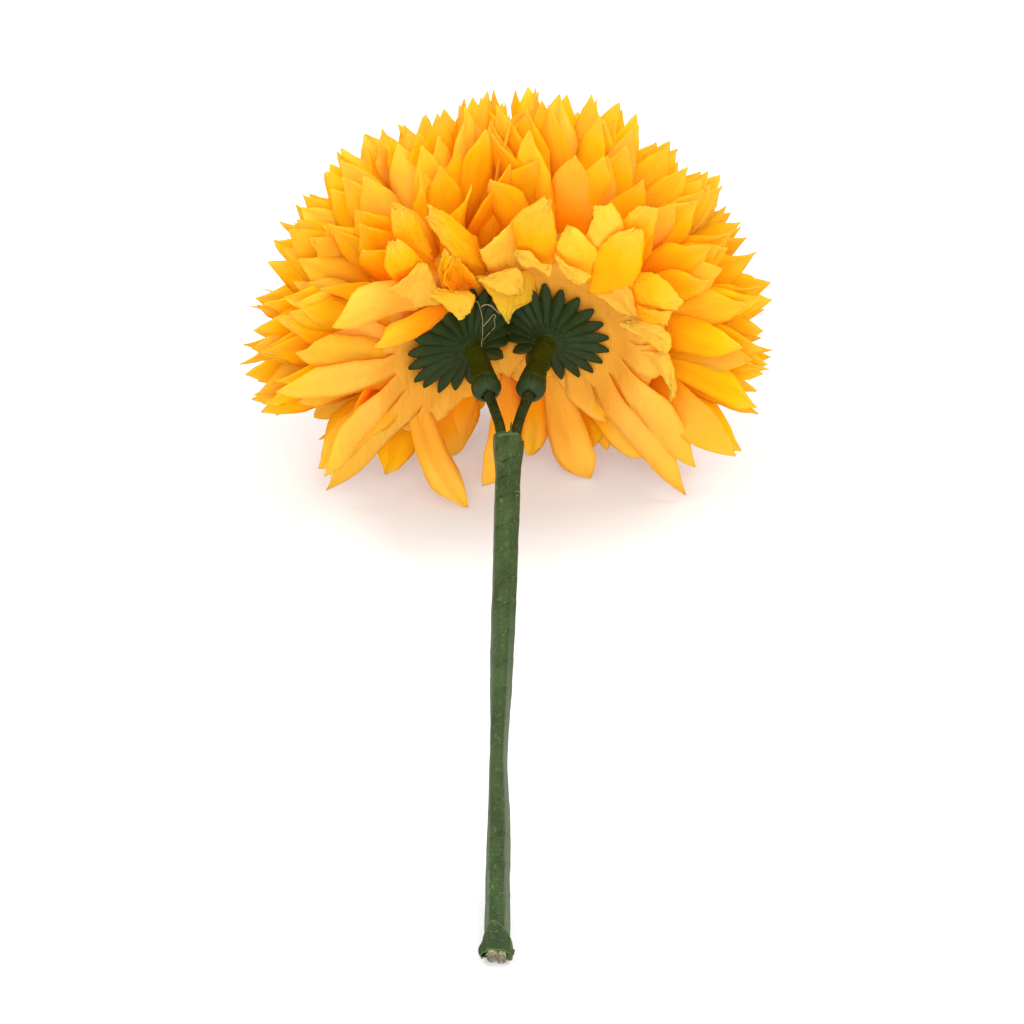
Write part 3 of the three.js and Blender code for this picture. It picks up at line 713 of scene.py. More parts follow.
# Torn and folded petals over the discs' upper edges, back to front: the left and the right
# edge as (azimuth, radius, height), how far the middle stands out, how much of the pale side
# shows and how far the colour falls off towards the root.
FLAPS = {
    "left": (
        (((106, 29, 0), (114, 51, -2), (111, 61, -2)),
         ((105, 38, 0), (106, 52, -2), (108, 59, -2)), 1.5, 0.0, 0.5),
        (((71, 20, -1), (99, 37, -5), (104, 53, -4)),
         ((83, 35, -1), (97, 50, -4), (102, 56.5, -3)), 2.0, 0.0, 0.45),
        (((125, 36, -2), (122, 48, -4), (117, 53, -4)),
         ((109, 33, -2), (112, 46, -5), (114, 53, -4)), 1.5, 0.0, 0.45),
        (((108, 21, -3), (107, 33, -5), (101, 40, -5)),
         ((100, 21, -3), (104, 33, -6), (99, 36, -5)), -0.5, 0.0, 0.9),
        (((96, 17, -3), (107, 30.5, -6), (99, 36, -6)),
         ((79, 19, -3), (90, 27, -6), (97, 35, -6)), -3.0, 0.0, 0.9),
        (((129, 28, -4), (129, 35, -5), (128, 42, -6)),
         ((113, 20, -3), (110, 37, -5), (113, 42, -6)), 0.8, 1.0, 0.1),
        (((119, 31, -3), (115, 24.5, -6), (109, 15.5, -8)),
         ((98, 22, -4), (89, 20, -6), (96, 16.5, -8)), 0.8, 0.25, 0.15),
        (((66, 21, -2), (81, 28.5, -5), (88, 36.5, -7)),
         ((46, 24, -2), (64, 35, -5), (71, 42, -5)), 1.2, 0.8, 0.25),
        (((86, 25, -5), (72, 18.5, -6), (63, 14.8, -8), (42, 12.2, -9)),
         ((42, 28, -4), (31, 21.8, -6), (43, 16.2, -8), (41, 12.2, -9)), 0.8, 0.45, 0.4),
        (((88, 26, -7), (70, 20.5, -7.6), (53, 20.2, -8.4)),
         ((81, 26.5, -7), (61, 28, -7), (47, 21.5, -8.2)), 0.4, 1.0, 0.05),
    ),
    "right": (
        (((64, 36, 0), (67, 54, -3), (66, 63, -4)),
         ((55, 40, 0), (59, 58, -3), (62, 67, -4)), 1.5, 0.0, 0.4),
        (((76, 34, -1), (75, 51, -5), (76, 56.5, -5)),
         ((68, 34, -1), (66, 54, -5), (72, 61, -5)), 1.5, 0.9, 0.4),
        (((106, 26, -2), (103, 39, -5), (100, 46, -6), (90, 54, -5)),
         ((88, 26, -2), (85, 37, -5), (86, 46, -6), (88, 53.5, -5)), 1.8, 0.0, 0.4),
        (((106, 32.5, -5), (102, 29.5, -6), (93, 29, -6), (85, 28, -7)),
         ((102, 35, -6), (95, 36, -8), (91, 33, -8), (85, 32.5, -7)), 0.5, 1.0, 0.05),
        (((78, 25, -2), (85, 35.5, -5), (82, 46, -5)),
         ((64, 28, -2), (69, 42, -5), (81, 46, -5)), 0.8, 0.2, 0.3),
        (((85, 36, -6), (80, 29.5, -5), (70, 27.5, -6)),
         ((83, 36.5, -7), (74, 35, -8), (66, 36, -8)), 0.3, 0.9, 0.05),
        (((61, 24, -2), (69, 40, -5), (68, 51.5, -7), (64, 58.5, -7)),
         ((48, 34, -2), (54, 46, -5), (59, 55, -7), (62, 59.5, -7)), 2.0, 0.0, 0.4),
        (((43, 31, -2), (37, 38, -4), (34, 45.5, -5)),
         ((52, 41, -2), (48, 47, -4), (36, 48, -5)), 1.2, 0.1, 0.4),
        (((32, 29, -1), (29, 36, -4), (29, 40, -5)),
         ((43, 31, -1), (39, 37, -5), (35, 44.5, -6)), 0.6, 0.1, 0.4),
        (((7, 25.9, -1), (1, 31.3, -3), (-6, 35.7, -4), (-13, 36.8, -5)),
         ((10, 33.8, -1), (7, 35.8, -3), (-6, 37.8, -4), (-13, 37.0, -5)), 0.6, 1.0, 0.35),
        (((30, 22.7, -1), (20, 29.1, -3), (14, 34.7, -5)),
         ((31, 27.8, -1), (27, 35.5, -3), (20, 38.0, -4), (14, 36.0, -5)), 0.8, 1.0, 0.4),
        (((60, 24, -1), (49, 24, -1), (32, 28, -1)),
         ((56, 34.5, -3), (49, 36, -4), (37, 32.5, -4)), 0.3, 1.0, 0.35),
    ),
}


def lance_width(share):
    """Half-width factor of a petal along its length: broad past the middle, then a point."""
    taper = share_of(share, 0.76, 1.0)
    body = lerp(0.5, 1.0, smooth(share, 0.0, 0.6))
    return max(body * (1 - taper ** 1.35), 0.02)


def fold_line(rng, slope):
    """A straight crease over a petal: its place along, its slant and how far it bends."""
    slant = math.radians(rng.uniform(-75, 75))
    return rng.uniform(0.3, 0.7), math.cos(slant), math.sin(slant), rng.uniform(-slope, slope)


class Petal:
    """One petal along a three-point curve, with its cup, folds and frayed edges."""

    columns, rows = 6, 15
    softness = 3.0                # how gently the other head pushes the petal back

    def __init__(self, head, root, bend, tip, sideways, width, rng):
        self.head = head
        self.curve = (root, bend, tip)
        self.sideways = sideways
        self.width = width
        self.twist = 0.0
        self.cup = 1.5
        self.hook = rng.uniform(-1.0, 1.2)
        self.fold = rng.uniform(-0.4, 1.6)
        self.curl = [rng.uniform(-1.0, 1.8), rng.uniform(-1.0, 1.8)]
        self.folds = [fold_line(rng, 0.28), fold_line(rng, 0.2)]
        self.crumple = rng.uniform(0.6, 1.8)
        self.across = rng.uniform(-1.0, 8.0) + 8.0 * smooth(tip.z, *LOOSE)
        self.floor = rng.uniform(0.25, 0.9)
        self.seed = rng.uniform(0, 500)
        self.fray = [[rng.uniform(-1, 1) for _ in range(self.rows + 1)] for _ in range(2)]
        self.tone = (rng.random(), rng.random(), 0.65 * smooth(rng.random(), 0.5, 1.0), 1.0)
        self.frames = []

    def prepare(self):
        root, bend, tip = self.curve
        self.length = ((root - bend).length + (tip - root).length + (tip - bend).length) / 2
        for row in range(self.rows + 1):
            share = self.share(row)
            centre = bezier(self.curve, share)
            along = ((bend - root).lerp(tip - bend, share)).normalized()
            across = Matrix.Rotation(self.twist * share, 3, along) @ self.sideways
            across = (across - along * across.dot(along)).normalized()
            self.frames.append((centre, across, along.cross(across), lance_width(share)))

    def share(self, row):
        """Rows stand closer to each other towards the tip."""
        return 1 - (1 - row / self.rows) ** 1.3

    def frayed(self, u, row, half):
        """The half-width at a place: the outermost threads stand out a little unevenly."""
        if u in (0.0, 1.0) and 0 < row < self.rows:
            return half + FRAY * self.fray[int(u)][row % len(self.fray[0])]
        return half

    def relief(self, side, v):
        """How far the cloth stands out of its plane; side is a share of the full half-width."""
        out = -self.cup * (1 - side * side)
        out += self.fold * bell(side, 0.0, 0.22) * smooth(v, 0.1, 0.4)
        out += noise.noise(Vector((side * 0.9, v * 2.4, self.seed))) * self.crumple
        out += noise.noise(Vector((side * 2.2, v * 5.5, self.seed + 9))) * self.crumple * 0.5
        out += self.curl[side > 0] * smooth(abs(side), 0.45, 1.0) * smooth(v, 0.35, 0.7)
        for start, along, aslant, slope in self.folds:
            beyond = (v - start) * self.length * along + side * self.width / 2 * aslant
            out += slope * max(0.0, beyond)
        return out + self.hook * smooth(v, 0.8, 1.0)

    def settle(self, spot, across):
        """Keeps a place on the head's side of the seam and above the surface."""
        self.head.keep_to_side(spot, self.softness, across)
        spot.z = self.floor + soft_limit(spot.z - self.floor, 1.0)
        return spot

    def point(self, u, v):
        row = round(v * self.rows)
        centre, across, face, width = self.frames[row]
        side = 2 * u - 1
        half = self.frayed(u, row, width * self.width / 2)
        out = self.relief(side * width, self.share(row))
        return self.settle(centre + across * side * half + face * out, self.across)

    def size(self, u, v):
        along = self.share(round(v * self.rows)) * self.length
        return ((u - 0.5) * self.width * CM + self.seed, along * CM)

    def flat(self, u, v):
        """The map that dyes the root, the tip and the rim."""
        return (u, v)

    def build(self, bm):
        self.prepare()
        mapped_grid(bm, self.columns, self.rows, self.point, self.size, self.tone, self.flat)


class BackPetal(Petal):
    """A wedge of a flat back disc that runs out into a free lance past its slit."""

    columns, rows = 6, 24
    inner, joined = 2.6, 22.0     # radii between which all wedges share their rows

    def __init__(self, head, azimuth, pitch, height, shape, beside, rng):
        super().__init__(head, Vector(), Vector(), Vector(), Vector(), BACK_PETAL_WIDTH, rng)
        self.azimuth, self.pitch, self.height = azimuth, pitch, height
        self.slit, self.radius, bend, swing = shape
        self.short = self.radius - self.slit < 6
        self.beside = beside
        self.bend, self.swing = math.radians(bend), math.radians(swing)
        self.tilt = rng.uniform(-1.5, 1.5)
        self.across = rng.uniform(0.0, 3.0)
        self.length = self.radius
        self.pale = 1.0
        own = (rng.random(), rng.random())
        self.tone = lambda u, v: self.shade(own, v)

    def prepare(self):
        """Its places come from the radius alone, so no frames are needed."""

    def place(self, v, end):
        """Distance from the hub: the wedges share their rows as far as they are one cloth."""
        if end < 30:
            return lerp(self.inner, end, v)
        if v < 0.5:
            return lerp(self.inner, self.joined, 2 * v)
        return lerp(self.joined, end, 2 * v - 1)

    def shade(self, own, v):
        """The disc is one cloth: only the free lances differ in tone."""
        radius = self.place(v, self.radius)
        free = smooth(radius, self.slit, self.slit + 8)
        return (lerp(0.5, own[0], free), lerp(0.4, 0.6 * own[1], free), self.pale, 1.0)

    def flat(self, u, v):
        """No rim shows before the slit, and a wedge without a lance has no bright tip."""
        radius = self.place(v, self.radius)
        return (0.5 + (u - 0.5) * smooth(radius, self.slit, self.slit + 6),
                radius / max(self.radius, 50))

    def slit_at(self, side):
        """Where the disc ends: half way to the neighbour's slit at a wedge's border."""
        return lerp(self.slit, self.beside[side > 0][0], abs(side) * 0.5)

    def end_at(self, side):
        """Where the cloth ends: a wedge without a lance runs evenly into its neighbours."""
        if not self.short:
            return self.radius
        return lerp(self.radius, min(self.beside[side > 0][1], self.radius + 9), abs(side) * 0.5)

    def lance(self, radius):
        """Half-width of the free lance at a distance from the hub."""
        share = (radius - self.slit) / (self.radius - self.slit)
        foot = 0.94 * self.slit * math.tan(self.pitch / 2)
        half = lerp(foot, self.width / 2, smooth(share, 0.0, 0.55))
        return max(half * (1 - share_of(share, 0.66, 1.0) ** 1.5), 0.15)

    def point(self, u, v):
        side = 2 * u - 1
        radius = self.place(v, self.end_at(side))
        half = radius * math.tan(self.pitch / 2)
        slit = self.slit_at(side)
        beyond = max(0.0, radius - slit)
        if radius > self.slit and not self.short:
            half = min(half, self.lance(radius))
        if beyond > 2:
            half = self.frayed(u, round(v * self.rows), half)
        free = smooth(beyond, 0, 9)
        angle = math.atan2(side * half, radius) + self.swing * smooth(beyond, 0, 30)
        bend = self.bend * smooth(beyond, 0, 7)
        out = min(radius, slit) + beyond * math.cos(bend)
        ripple = 0.7 * ring_noise(self.azimuth + angle, 2.2, radius * 0.12 + self.head.seed)
        side *= half / (self.width / 2)
        dip = DISC_DIP[self.head.name] * (1 - smooth(radius, 16, 27))
        height = self.height + dip + beyond * math.sin(bend) + ripple * smooth(radius, 8, 16)
        height += (self.relief(side, v) + self.tilt * side) * free
        return self.settle(self.head.at(out, self.azimuth + angle, height),
                           1.5 + self.across * free)

    def size(self, u, v):
        radius = self.place(v, self.radius)
        angle = self.azimuth + (u - 0.5) * self.pitch
        return (radius * math.cos(angle) * CM, radius * math.sin(angle) * CM)


RAGGED_SEED = 5                   # noise_vector's offsets come from it


def torn_sheet(left, right, facing, bulge, crumple, torn, seed):
    """A crumpled sheet between two smooth edges, torn unevenly: gives its point(u, v)."""
    face = (left[-1] - right[0]).cross(right[-1] - left[0]).normalized()
    if face.dot(facing) < 0:
        face = -face

    def point(u, v):
        spot = route_point(left, v).lerp(route_point(right, v), u)
        middle = math.sin(math.pi * u) * (0.35 + 0.65 * math.sin(math.pi * v))
        crumpled = noise.noise(Vector((u * 2.2, v * 2.6, seed))) * crumple
        ragged = noise.noise_vector(Vector((u * 13, v * 13, seed + 3))) * torn
        return spot + face * (bulge * middle + crumpled) + ragged

    return point


# Radius of the ball by direction, seen from the camera: degrees from across, and millimetres.
FULLNESS = {
    "left": ((-130, 52), (-100, 50), (-60, 52), (0, 56), (40, 62), (67, 64), (76, 61.5), (86, 56.5),
             (92, 54), (105, 51), (120, 50.5), (132, 49.5), (145, 48), (165, 49), (180, 50.5),
             (188, 53.5), (202, 56.5), (214, 57), (230, 54)),
    "right": ((-68, 44), (-58, 50), (-49, 60), (-41, 63), (-33, 62), (-17, 59), (-4, 57), (9, 56),
              (20, 53.5), (35, 52.5), (50, 53), (67, 54.5), (80, 57), (92, 58.5), (104, 61.5),
              (118, 63), (140, 62), (180, 56), (230, 50), (262, 44), (292, 44)),
}
SIGHT_UP = Vector((0, 0.530, 0.848))      # upwards in that view, 32 degrees below level


def ball_radius(head, direction):
    """Radius of the ball in a direction: the heads press together into one dome."""
    across, above = direction.x, direction.dot(SIGHT_UP)
    facing = min(math.hypot(across, above), 1.0)
    table = FULLNESS[head.name]
    angle = math.degrees(math.atan2(above, across))
    if angle < table[0][0]:
        angle += 360
    for (first, low), (second, high) in zip(table, table[1:]):
        if angle <= second:
            return lerp(head.radius, lerp(low, high, (angle - first) / (second - first)),
                        facing ** 2)
    return head.radius


def back_petals(head, rng):
    """The petals of the flat discs behind the ball, and the crumpled ones over them."""
    shapes = BACK_PETALS[head.name]
    pitch = TAU / len(shapes)
    made = []
    for i, shape in enumerate(shapes):
        beside = (shapes[i - 1], shapes[(i + 1) % len(shapes)])
        azimuth = i * pitch - math.pi / 2
        made.append(BackPetal(head, azimuth, pitch, FLAT_HEIGHTS[0], shape, beside, rng))
        slit, radius, bend, swing = shape
        reach = min(radius - rng.uniform(1, 5), beside[0][1] + 3)
        ahead = (min(slit + 1, reach - 1), reach, bend + rng.uniform(3, 9), swing)
        second = BackPetal(head, azimuth - pitch / 2, pitch, FLAT_HEIGHTS[1], ahead,
                           (ahead, ahead), rng)
        second.pale = 0.5
        made.append(second)
    for points, width, pale in FOLDED[head.name]:
        root, bend, tip = head.spots(points)
        petal = Petal(head, root, bend, tip, head.ahead.cross(tip - root), width, rng)
        petal.across = 8.0
        petal.tone = (0.7, 0.5, pale, 1.0)
        made.append(petal)
    return made


def flaps(bm, head, rng):
    """The torn, folded petals that lie over the back disc's upper edge."""
    for left, right, bulge, pale, fall in FLAPS[head.name]:
        edges = head.spots(left), head.spots(right)
        point = torn_sheet(*edges, -head.ahead, bulge, crumple=1.1, torn=0.45,
                           seed=rng.uniform(0, 500))
        reach = (edges[0][-1] - edges[0][0]).length * CM
        broad = (edges[0][0] - edges[1][0]).length * CM
        mapped_grid(bm, 16, 24, point, lambda u, v: (u * broad, v * reach),
                    (rng.random(), rng.random(), pale, fall))


def disc_petals(head, index, rng):
    """The petals of one disc of the ball."""
    share = index / (DISCS - 1)
    polar_of_disc = math.radians(lerp(*TIP_POLAR, share ** 0.93))
    fullness = 1.0 if polar_of_disc > math.pi / 2 else min(1.0, 1.35 * math.sin(polar_of_disc))
    count = max(1, round(PETALS_ON_DISC * fullness))
    pitch = TAU / count
    lean_angle = math.radians(lerp(*ROOT_POLAR, share ** 1.25))
    root_radius = lerp(*ROOT_RADIUS, share)
    root_height = lerp(ROOT_LIFT + DISC_DIP[head.name], STACK_DEPTH, share)
    made = []
    for i in range(count):
        azimuth = (index * DISC_TURN + i) * pitch - math.pi / 2 + math.radians(rng.uniform(-9, 9))
        polar = polar_of_disc + math.radians(rng.uniform(-5, 5))
        outward = head.outward(azimuth)
        root = head.at(root_radius, azimuth, root_height)
        to_tip = outward * math.sin(polar) + head.ahead * math.cos(polar)
        tip = head.ball + to_tip * ball_radius(head, to_tip) * rng.uniform(0.95, 1.0)
        low = rng.uniform(0.5, 9.0)
        tip.z = low + soft_limit(tip.z - low, 2.0)
        lean = outward * math.sin(lean_angle) + head.ahead * math.cos(lean_angle)
        bend = root + lean * (tip - root).length * rng.uniform(0.45, 0.58)
        petal = Petal(head, root, bend, tip, head.ahead.cross(outward),
                      rng.uniform(10.2, 12.6), rng)
        petal.twist = math.radians(rng.uniform(-38, 38))
        petal.cup = rng.uniform(0.2, 2.6)
        torn_off = rng.random() < TORN_OFF
        if head.side * tip.x > SEAM_LIMIT - 6 * smooth(tip.z, *LOOSE) and not torn_off:
            made.append(petal)
    return made


def root_discs(bm, head):
    """The small cloth discs that carry the petals, threaded on the calyx's peg."""
    turn = head.ahead.to_track_quat("Z", "Y").to_matrix().to_4x4()
    tone_layer = bm.verts.layers.float_color["tone"]
    for index in range(BACK_DISCS, DISCS):
        share = index / (DISCS - 1)
        ahead = lerp(0.5 + DISC_DIP[head.name], STACK_DEPTH, share)
        centre = Matrix.Translation((head.hub + head.ahead * ahead) * MM)
        made = bmesh.ops.create_circle(bm, cap_ends=True, cap_tris=True, segments=18,
                                       radius=lerp(*DISC_RADIUS, share) * MM,
                                       matrix=centre @ turn)["verts"]
        for vert in made:
            vert[tone_layer] = (0.5, 0.5, 0.0, 1.0)


def build_blooms(settings):
    """Both heads, each as a back half and a front half of its discs."""
    material = petal_fabric(settings)
    for head in HEADS:
        rng = random.Random(head.seed)
        back = back_petals(head, rng)
        for index in range(BACK_DISCS, FRONT_FROM):
            back += disc_petals(head, index, rng)
        front = []
        for index in range(FRONT_FROM, DISCS):
            front += disc_petals(head, index, rng)
        for part, petals in (("back", back), ("front", front)):
            bm = bmesh.new()
            for petal in petals:
                petal.width *= settings.petal_width / (PETAL_WIDTH * MM)
                petal.build(bm)
            if part == "front":
                root_discs(bm, head)
            else:
                flaps(bm, head, rng)
            piece = finish_mesh(f"petals_{part}_{head.name}", bm, material,
                                merge=0.02, wall=settings.cloth_thickness / MM, offset=0.0)
            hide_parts(f"bloom_{head.name}")


# ---------------------------------------------------------------- calyxes

LOBE_COLUMNS = 16                 # of the mesh across a lobe
# By head: where two lobes part, where they end, and how far the rim and the neck lie ahead.
LOBE_VALLEY = {"left": 12.6, "right": 10.6}
LOBE_REACH = {"left": 17.4, "right": 16.2}
RIM_AHEAD = {"left": -1.6, "right": 1.4}
NECK_AHEAD = {"left": -4.7, "right": -2.5}
GROOVE_DEPTH = 1.1                # between two lobes
RIB_HEIGHT = 0.34                 # along the middle of a lobe
RIB_WIDTH = 0.11                  # as a share of half a lobe
CALYX_WALL = 0.5
RING_RADIUS = 3.1                 # of the neck ring on the sleeve
# The neck ring's section: how far it is outside that radius, and ahead of the joint.
RING_SECTION = ((-0.6, -0.7), (-0.2, -0.85), (0.0, -0.6), (0.1, -0.1), (0.6, 0.3), (0.9, 0.9),
                (-0.6, 1.2))


def off_rib(u):
    """Nought on the rib in the middle of a lobe and one in the groove beside it."""
    turn = u * LOBES
    return abs(2 * (turn - math.floor(turn)) - 1)


def calyx_point(head, u, v):
    """The calyx's back surface: a cone of pointed lobes with a crisp rib on each."""
    part = off_rib(u)
    lobe = math.floor(u * LOBES) % LOBES
    reach = LOBE_REACH[head.name] + 0.7 * noise.noise(Vector((lobe * 3.7, head.seed, 0)))
    valley = LOBE_VALLEY[head.name]
    rim = valley + (reach - valley) * max(0.0, 1 - part ** 1.35) ** 0.8
    radius = lerp(NECK_RADIUS, rim, v)
    spread = (radius - NECK_RADIUS) / (reach - NECK_RADIUS)
    cone = lerp(NECK_AHEAD[head.name], RIM_AHEAD[head.name], spread ** 0.9)
    groove = GROOVE_DEPTH * part ** 1.6 * smooth(radius, 3.0, 8.0)
    rib = RIB_HEIGHT * (1 - bell(part, 0.0, RIB_WIDTH)) * smooth(radius, 3.0, 6.0)
    droop = 0.7 * smooth(v, 0.75, 1.0) * (1 - part)
    lift = 0.9 * noise.noise(Vector((lobe * 1.3, head.seed, 5))) * smooth(radius, 9, 15)
    height = cone + groove + rib + droop + lift
    return head.keep_to_side(head.at(radius, u * TAU, height), softness=1.2, across=1.2)


def calyx_joint(head):
    """Where the neck of the calyx sits on its sleeve."""
    return head.hub + head.ahead * NECK_AHEAD[head.name]


def build_calyxes(settings):
    """The lobed cones and the rings at their necks."""
    material = moulded_plastic("calyx_green", settings.calyx_colour, settings.mottle_and_groove_shade,
                               roughness=0.5)
    for head in HEADS:
        piece = grid_piece(f"calyx_lobes_{head.name}", LOBES * LOBE_COLUMNS, 16,
                           lambda u, v: calyx_point(head, u, v), material,
                           # red is low in the grooves between lobes, which get painted shade
                           tone=lambda u, v: (1 - 0.95 * off_rib(u) ** 4, 0, 0, 1),
                           merge=0.01, wall=CALYX_WALL)
        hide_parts(f"calyx_{head.name}")
        ring = bmesh.new()
        turned_profile(ring, [(RING_RADIUS + out, ahead) for out, ahead in RING_SECTION],
                       calyx_joint(head), head.ahead, steps=40)
        finish_mesh(f"neck_ring_{head.name}", ring, material)


def turned_profile(bm, profile, foot, axis, steps):
    """A shape turned round an axis: each profile point is a radius and a distance from foot."""
    side = axis.orthogonal().normalized()
    tone_layer = bm.verts.layers.float_color.new("tone")
    verts = [bm.verts.new((foot + side * radius + axis * ahead) * MM) for radius, ahead in profile]
    edges = [bm.edges.new(pair) for pair in zip(verts, verts[1:])]
    bmesh.ops.spin(bm, geom=verts + edges, cent=foot * MM, axis=axis, angle=TAU, steps=steps,
                   use_merge=True)
    bmesh.ops.remove_doubles(bm, verts=bm.verts, dist=0.005 * MM)
    for vert in bm.verts:
        vert[tone_layer] = (1, 0, 0, 1)
    for face in bm.faces:
        face.smooth = True
    bmesh.ops.recalc_face_normals(bm, faces=bm.faces)


# ---------------------------------------------------------------- sockets

# Radius of the bulb by height over its foot, and of the sleeve by its share from bulb to calyx.
BULB_PROFILE = ((-1.5, 1.5), (-0.8, 2.55), (0.1, 3.25), (1.1, 3.55), (2.5, 3.45), (3.8, 3.2),
                (5.0, 3.0))
SLEEVE_START = 3.3
SLEEVE_PROFILE = ((0.0, 3.4), (0.04, 3.42), (0.08, 3.3), (0.22, 2.95), (0.42, 2.5), (0.76, 2.46),
                  (0.78, 2.6), (0.80, 2.6), (0.82, 2.44), (1.0, 2.6))
SEPALS = 4                        # overlapping leaves that close round the bulb
SEPAL_SPAN = math.radians(108)
SEPAL_TURN = 0.9                  # where the first one's middle lies, in radians
SEPAL_RIB = 0.06                  # height of the fine ribs along the bulb
SEPAL_LAP = 0.22                  # how far a sepal stands over the next one's edge
SOCKET_WALL = 0.3


def profile_radius(profile, height):
    """The radius at a height on a row of (height, radius), smoothly between its points."""
    for (low, first), (high, second) in zip(profile, profile[1:]):
        if height <= high:
            share = smooth(height, low, high) * 0.5 + 0.5 * share_of(height, low, high)
            return lerp(first, second, share)
    return profile[-1][1]


def build_bulb(head, material):
    """Sepals with fine ribs, each with one edge over the next."""
    foot = bulb_foot(head.side)
    axis = socket_direction(head.side)
    wide = axis.cross(STEM_UP).normalized()
    thin = wide.cross(axis)
    low, high = BULB_PROFILE[0][0], BULB_PROFILE[-1][0]

    def sepal(start):
        def point(u, v):
            angle = start + (u - 0.5) * SEPAL_SPAN
            height = lerp(low + 0.45 * abs(2 * u - 1) ** 3, high, v)
            rib = SEPAL_RIB * math.cos(angle * 26) * smooth(v, 0.08, 0.3)
            lap = SEPAL_LAP * (1 - u) * (1 - smooth(v, 0.5, 0.9))
            radius = profile_radius(BULB_PROFILE, height) + rib + lap
            return ring_spot((foot, wide, thin), angle, radius) + axis * height
        return point

    bm = bmesh.new()
    for i in range(SEPALS):
        mapped_grid(bm, 24, 14, sepal(i * TAU / SEPALS + SEPAL_TURN), tone=(0.9, 0, 0, 1))
    piece = finish_mesh(f"bulb_{head.name}", bm, material, wall=SOCKET_WALL)
    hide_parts(f"socket_{head.name}")


def build_sleeve(head, material):
    """The bent sleeve from the bulb up to the calyx, ragged where it covers the bulb."""
    foot = bulb_foot(head.side)
    axis = socket_direction(head.side)
    joint = calyx_joint(head)
    route = (foot + axis * SLEEVE_START, foot + axis * 9, joint - head.ahead * 6,
             joint + head.ahead * 0.8)
    rows = 50
    frames = path_frames([bezier(route, i / rows) for i in range(rows + 1)])

    def point(u, v):
        angle = TAU * u
        radius = profile_radius(SLEEVE_PROFILE, v) + 0.08 * ring_noise(angle, 1, v * 4)
        slip = axis * 0.35 * ring_noise(angle, 2, 7) * (1 - smooth(v, 0.0, 0.1))
        return ring_spot(frames[round(v * rows)], angle, radius) + slip

    grid_piece(f"sleeve_{head.name}", 36, rows, point, material,
               tone=(1.0, 0, 0, 1), merge=0.01, wall=SOCKET_WALL)


def build_sockets(settings):
    """The ribbed bulbs and the sleeves above them."""
    bulb = moulded_plastic("bulb_green", settings.bulb_colour, settings.mottle_and_groove_shade,
                           roughness=0.42)
    sleeve = moulded_plastic("sleeve_green", settings.sleeve_colour, settings.sleeve_dark,
                             roughness=0.38)
    for head in HEADS:
        build_bulb(head, bulb)
        build_sleeve(head, sleeve)


# ---------------------------------------------------------------- taped branches and stem

FLOOR_CLEAR = 0.25                # the lowest tape stays this far above the surface
STEM_TAPE = (2.4, STEM_LENGTH + 0.3, 10.4)      # where its turns start, end and repeat
CUFF_TOP = 11.8                   # how far the last turn at the cut end reaches up
CUFF_SIDE = 7.2                   # the same at the stem's sides
CUFF_WALL = 0.25
COLLAR_FOOT = STEM_LENGTH - 9     # where the collar at the fork begins
WING_FROM, WING_TO = 30.0, 90.0   # the folds pressed flat beside the rods end between these
TURN_MAP = (1.2, 2)               # size of the map across the cuff and collar, and round them


def wound_tape(bm, path, outline, first, last, pitch, lap, step, segments, tone):
    """Tape wound in a helix: each turn's upper edge lies over the turn before.

    path(along) gives centre, wide and thin; outline(angle, along) the section's two offsets.
    lap is the share of a turn that lies double, and step how far its edge stands out.
    """
    turns = (last - first) / pitch
    rows = max(2, round(turns * segments))

    def point(u, v):
        angle = -TAU * v * turns
        drift = pitch * 0.22 * noise.noise(Vector((v * turns * 0.9, pitch, 0)))
        along = first + v * (last - first) + (u - 0.5) * pitch * (1 + lap) + drift
        ragged = 0.5 * noise.noise(Vector((angle * 1.3, pitch, 4)))
        along = min(max(along, first + ragged), last + ragged)
        centre, wide, thin = path(along)
        across, above = outline(angle, along)
        grow = 1 + step * u / math.hypot(across, above)
        spot = centre + wide * across * grow + thin * above * grow
        spot.z = max(spot.z, FLOOR_CLEAR)
        return spot

    def size(u, v):
        return (u * pitch * CM, v * turns * 2.0)

    mapped_grid(bm, 5, rows, point, size, tone)
    bmesh.ops.reverse_faces(bm, faces=bm.faces)


def stem_side(across, above, along):
    """How far to the right a place of the section lies, seen from above: from -1 to 1."""
    turn = stem_turn(along)
    reach = math.hypot((rod_spread(along) + WRAP_OUTER) * math.cos(turn),
                       WRAP_OUTER * math.sin(turn))
    return (across * math.cos(turn) - above * math.sin(turn)) / reach


def pressed_section(angle, along):
    """The flattened section round both rods, with pressed folds along its sides."""
    lean = math.cos(angle)
    radius = WRAP_OUTER - 0.12
    wobble = 0.07 * ring_noise(angle, 1.5, along * 0.16)
    fold = 1 - 0.4 * (1 - smooth(along, WING_FROM, WING_TO)) * smooth(abs(lean), 0.66, 0.80)
    across = (rod_spread(along) * math.tanh(3 * lean) / math.tanh(3) + radius * lean) * (1 + wobble)
    above = (radius + wobble) * math.sin(angle) * fold
    turn = stem_turn(along)
    side = stem_side(across, above, along)
    upward = smooth(across * math.sin(turn) + above * math.cos(turn), 0.0, 1.0)
    press = (0.32 * smooth(side, 0.38, 0.46) - 0.15 * smooth(side, 0.46, 0.7)
             + 0.2 * bell(side, -0.25, 0.2)) * upward
    return across - press * math.sin(turn), above - press * math.cos(turn)


def stem_outline(angle, along):
    """The section where the wrap lies: it sags to the left of its rods half way along."""
    across, above = pressed_section(angle, along)
    turn = stem_turn(along)
    left = -0.25 - 0.95 * bell(along, 95, 38)
    right = -0.2 - 0.75 * bell(along, 68, 14)
    shift = lerp(left, right, (stem_side(across, above, along) + 1) / 2)
    shift *= smooth(along, 10, 30) * (1 - smooth(along, 150, 176))
    return across + shift * math.cos(turn), above - shift * math.sin(turn)


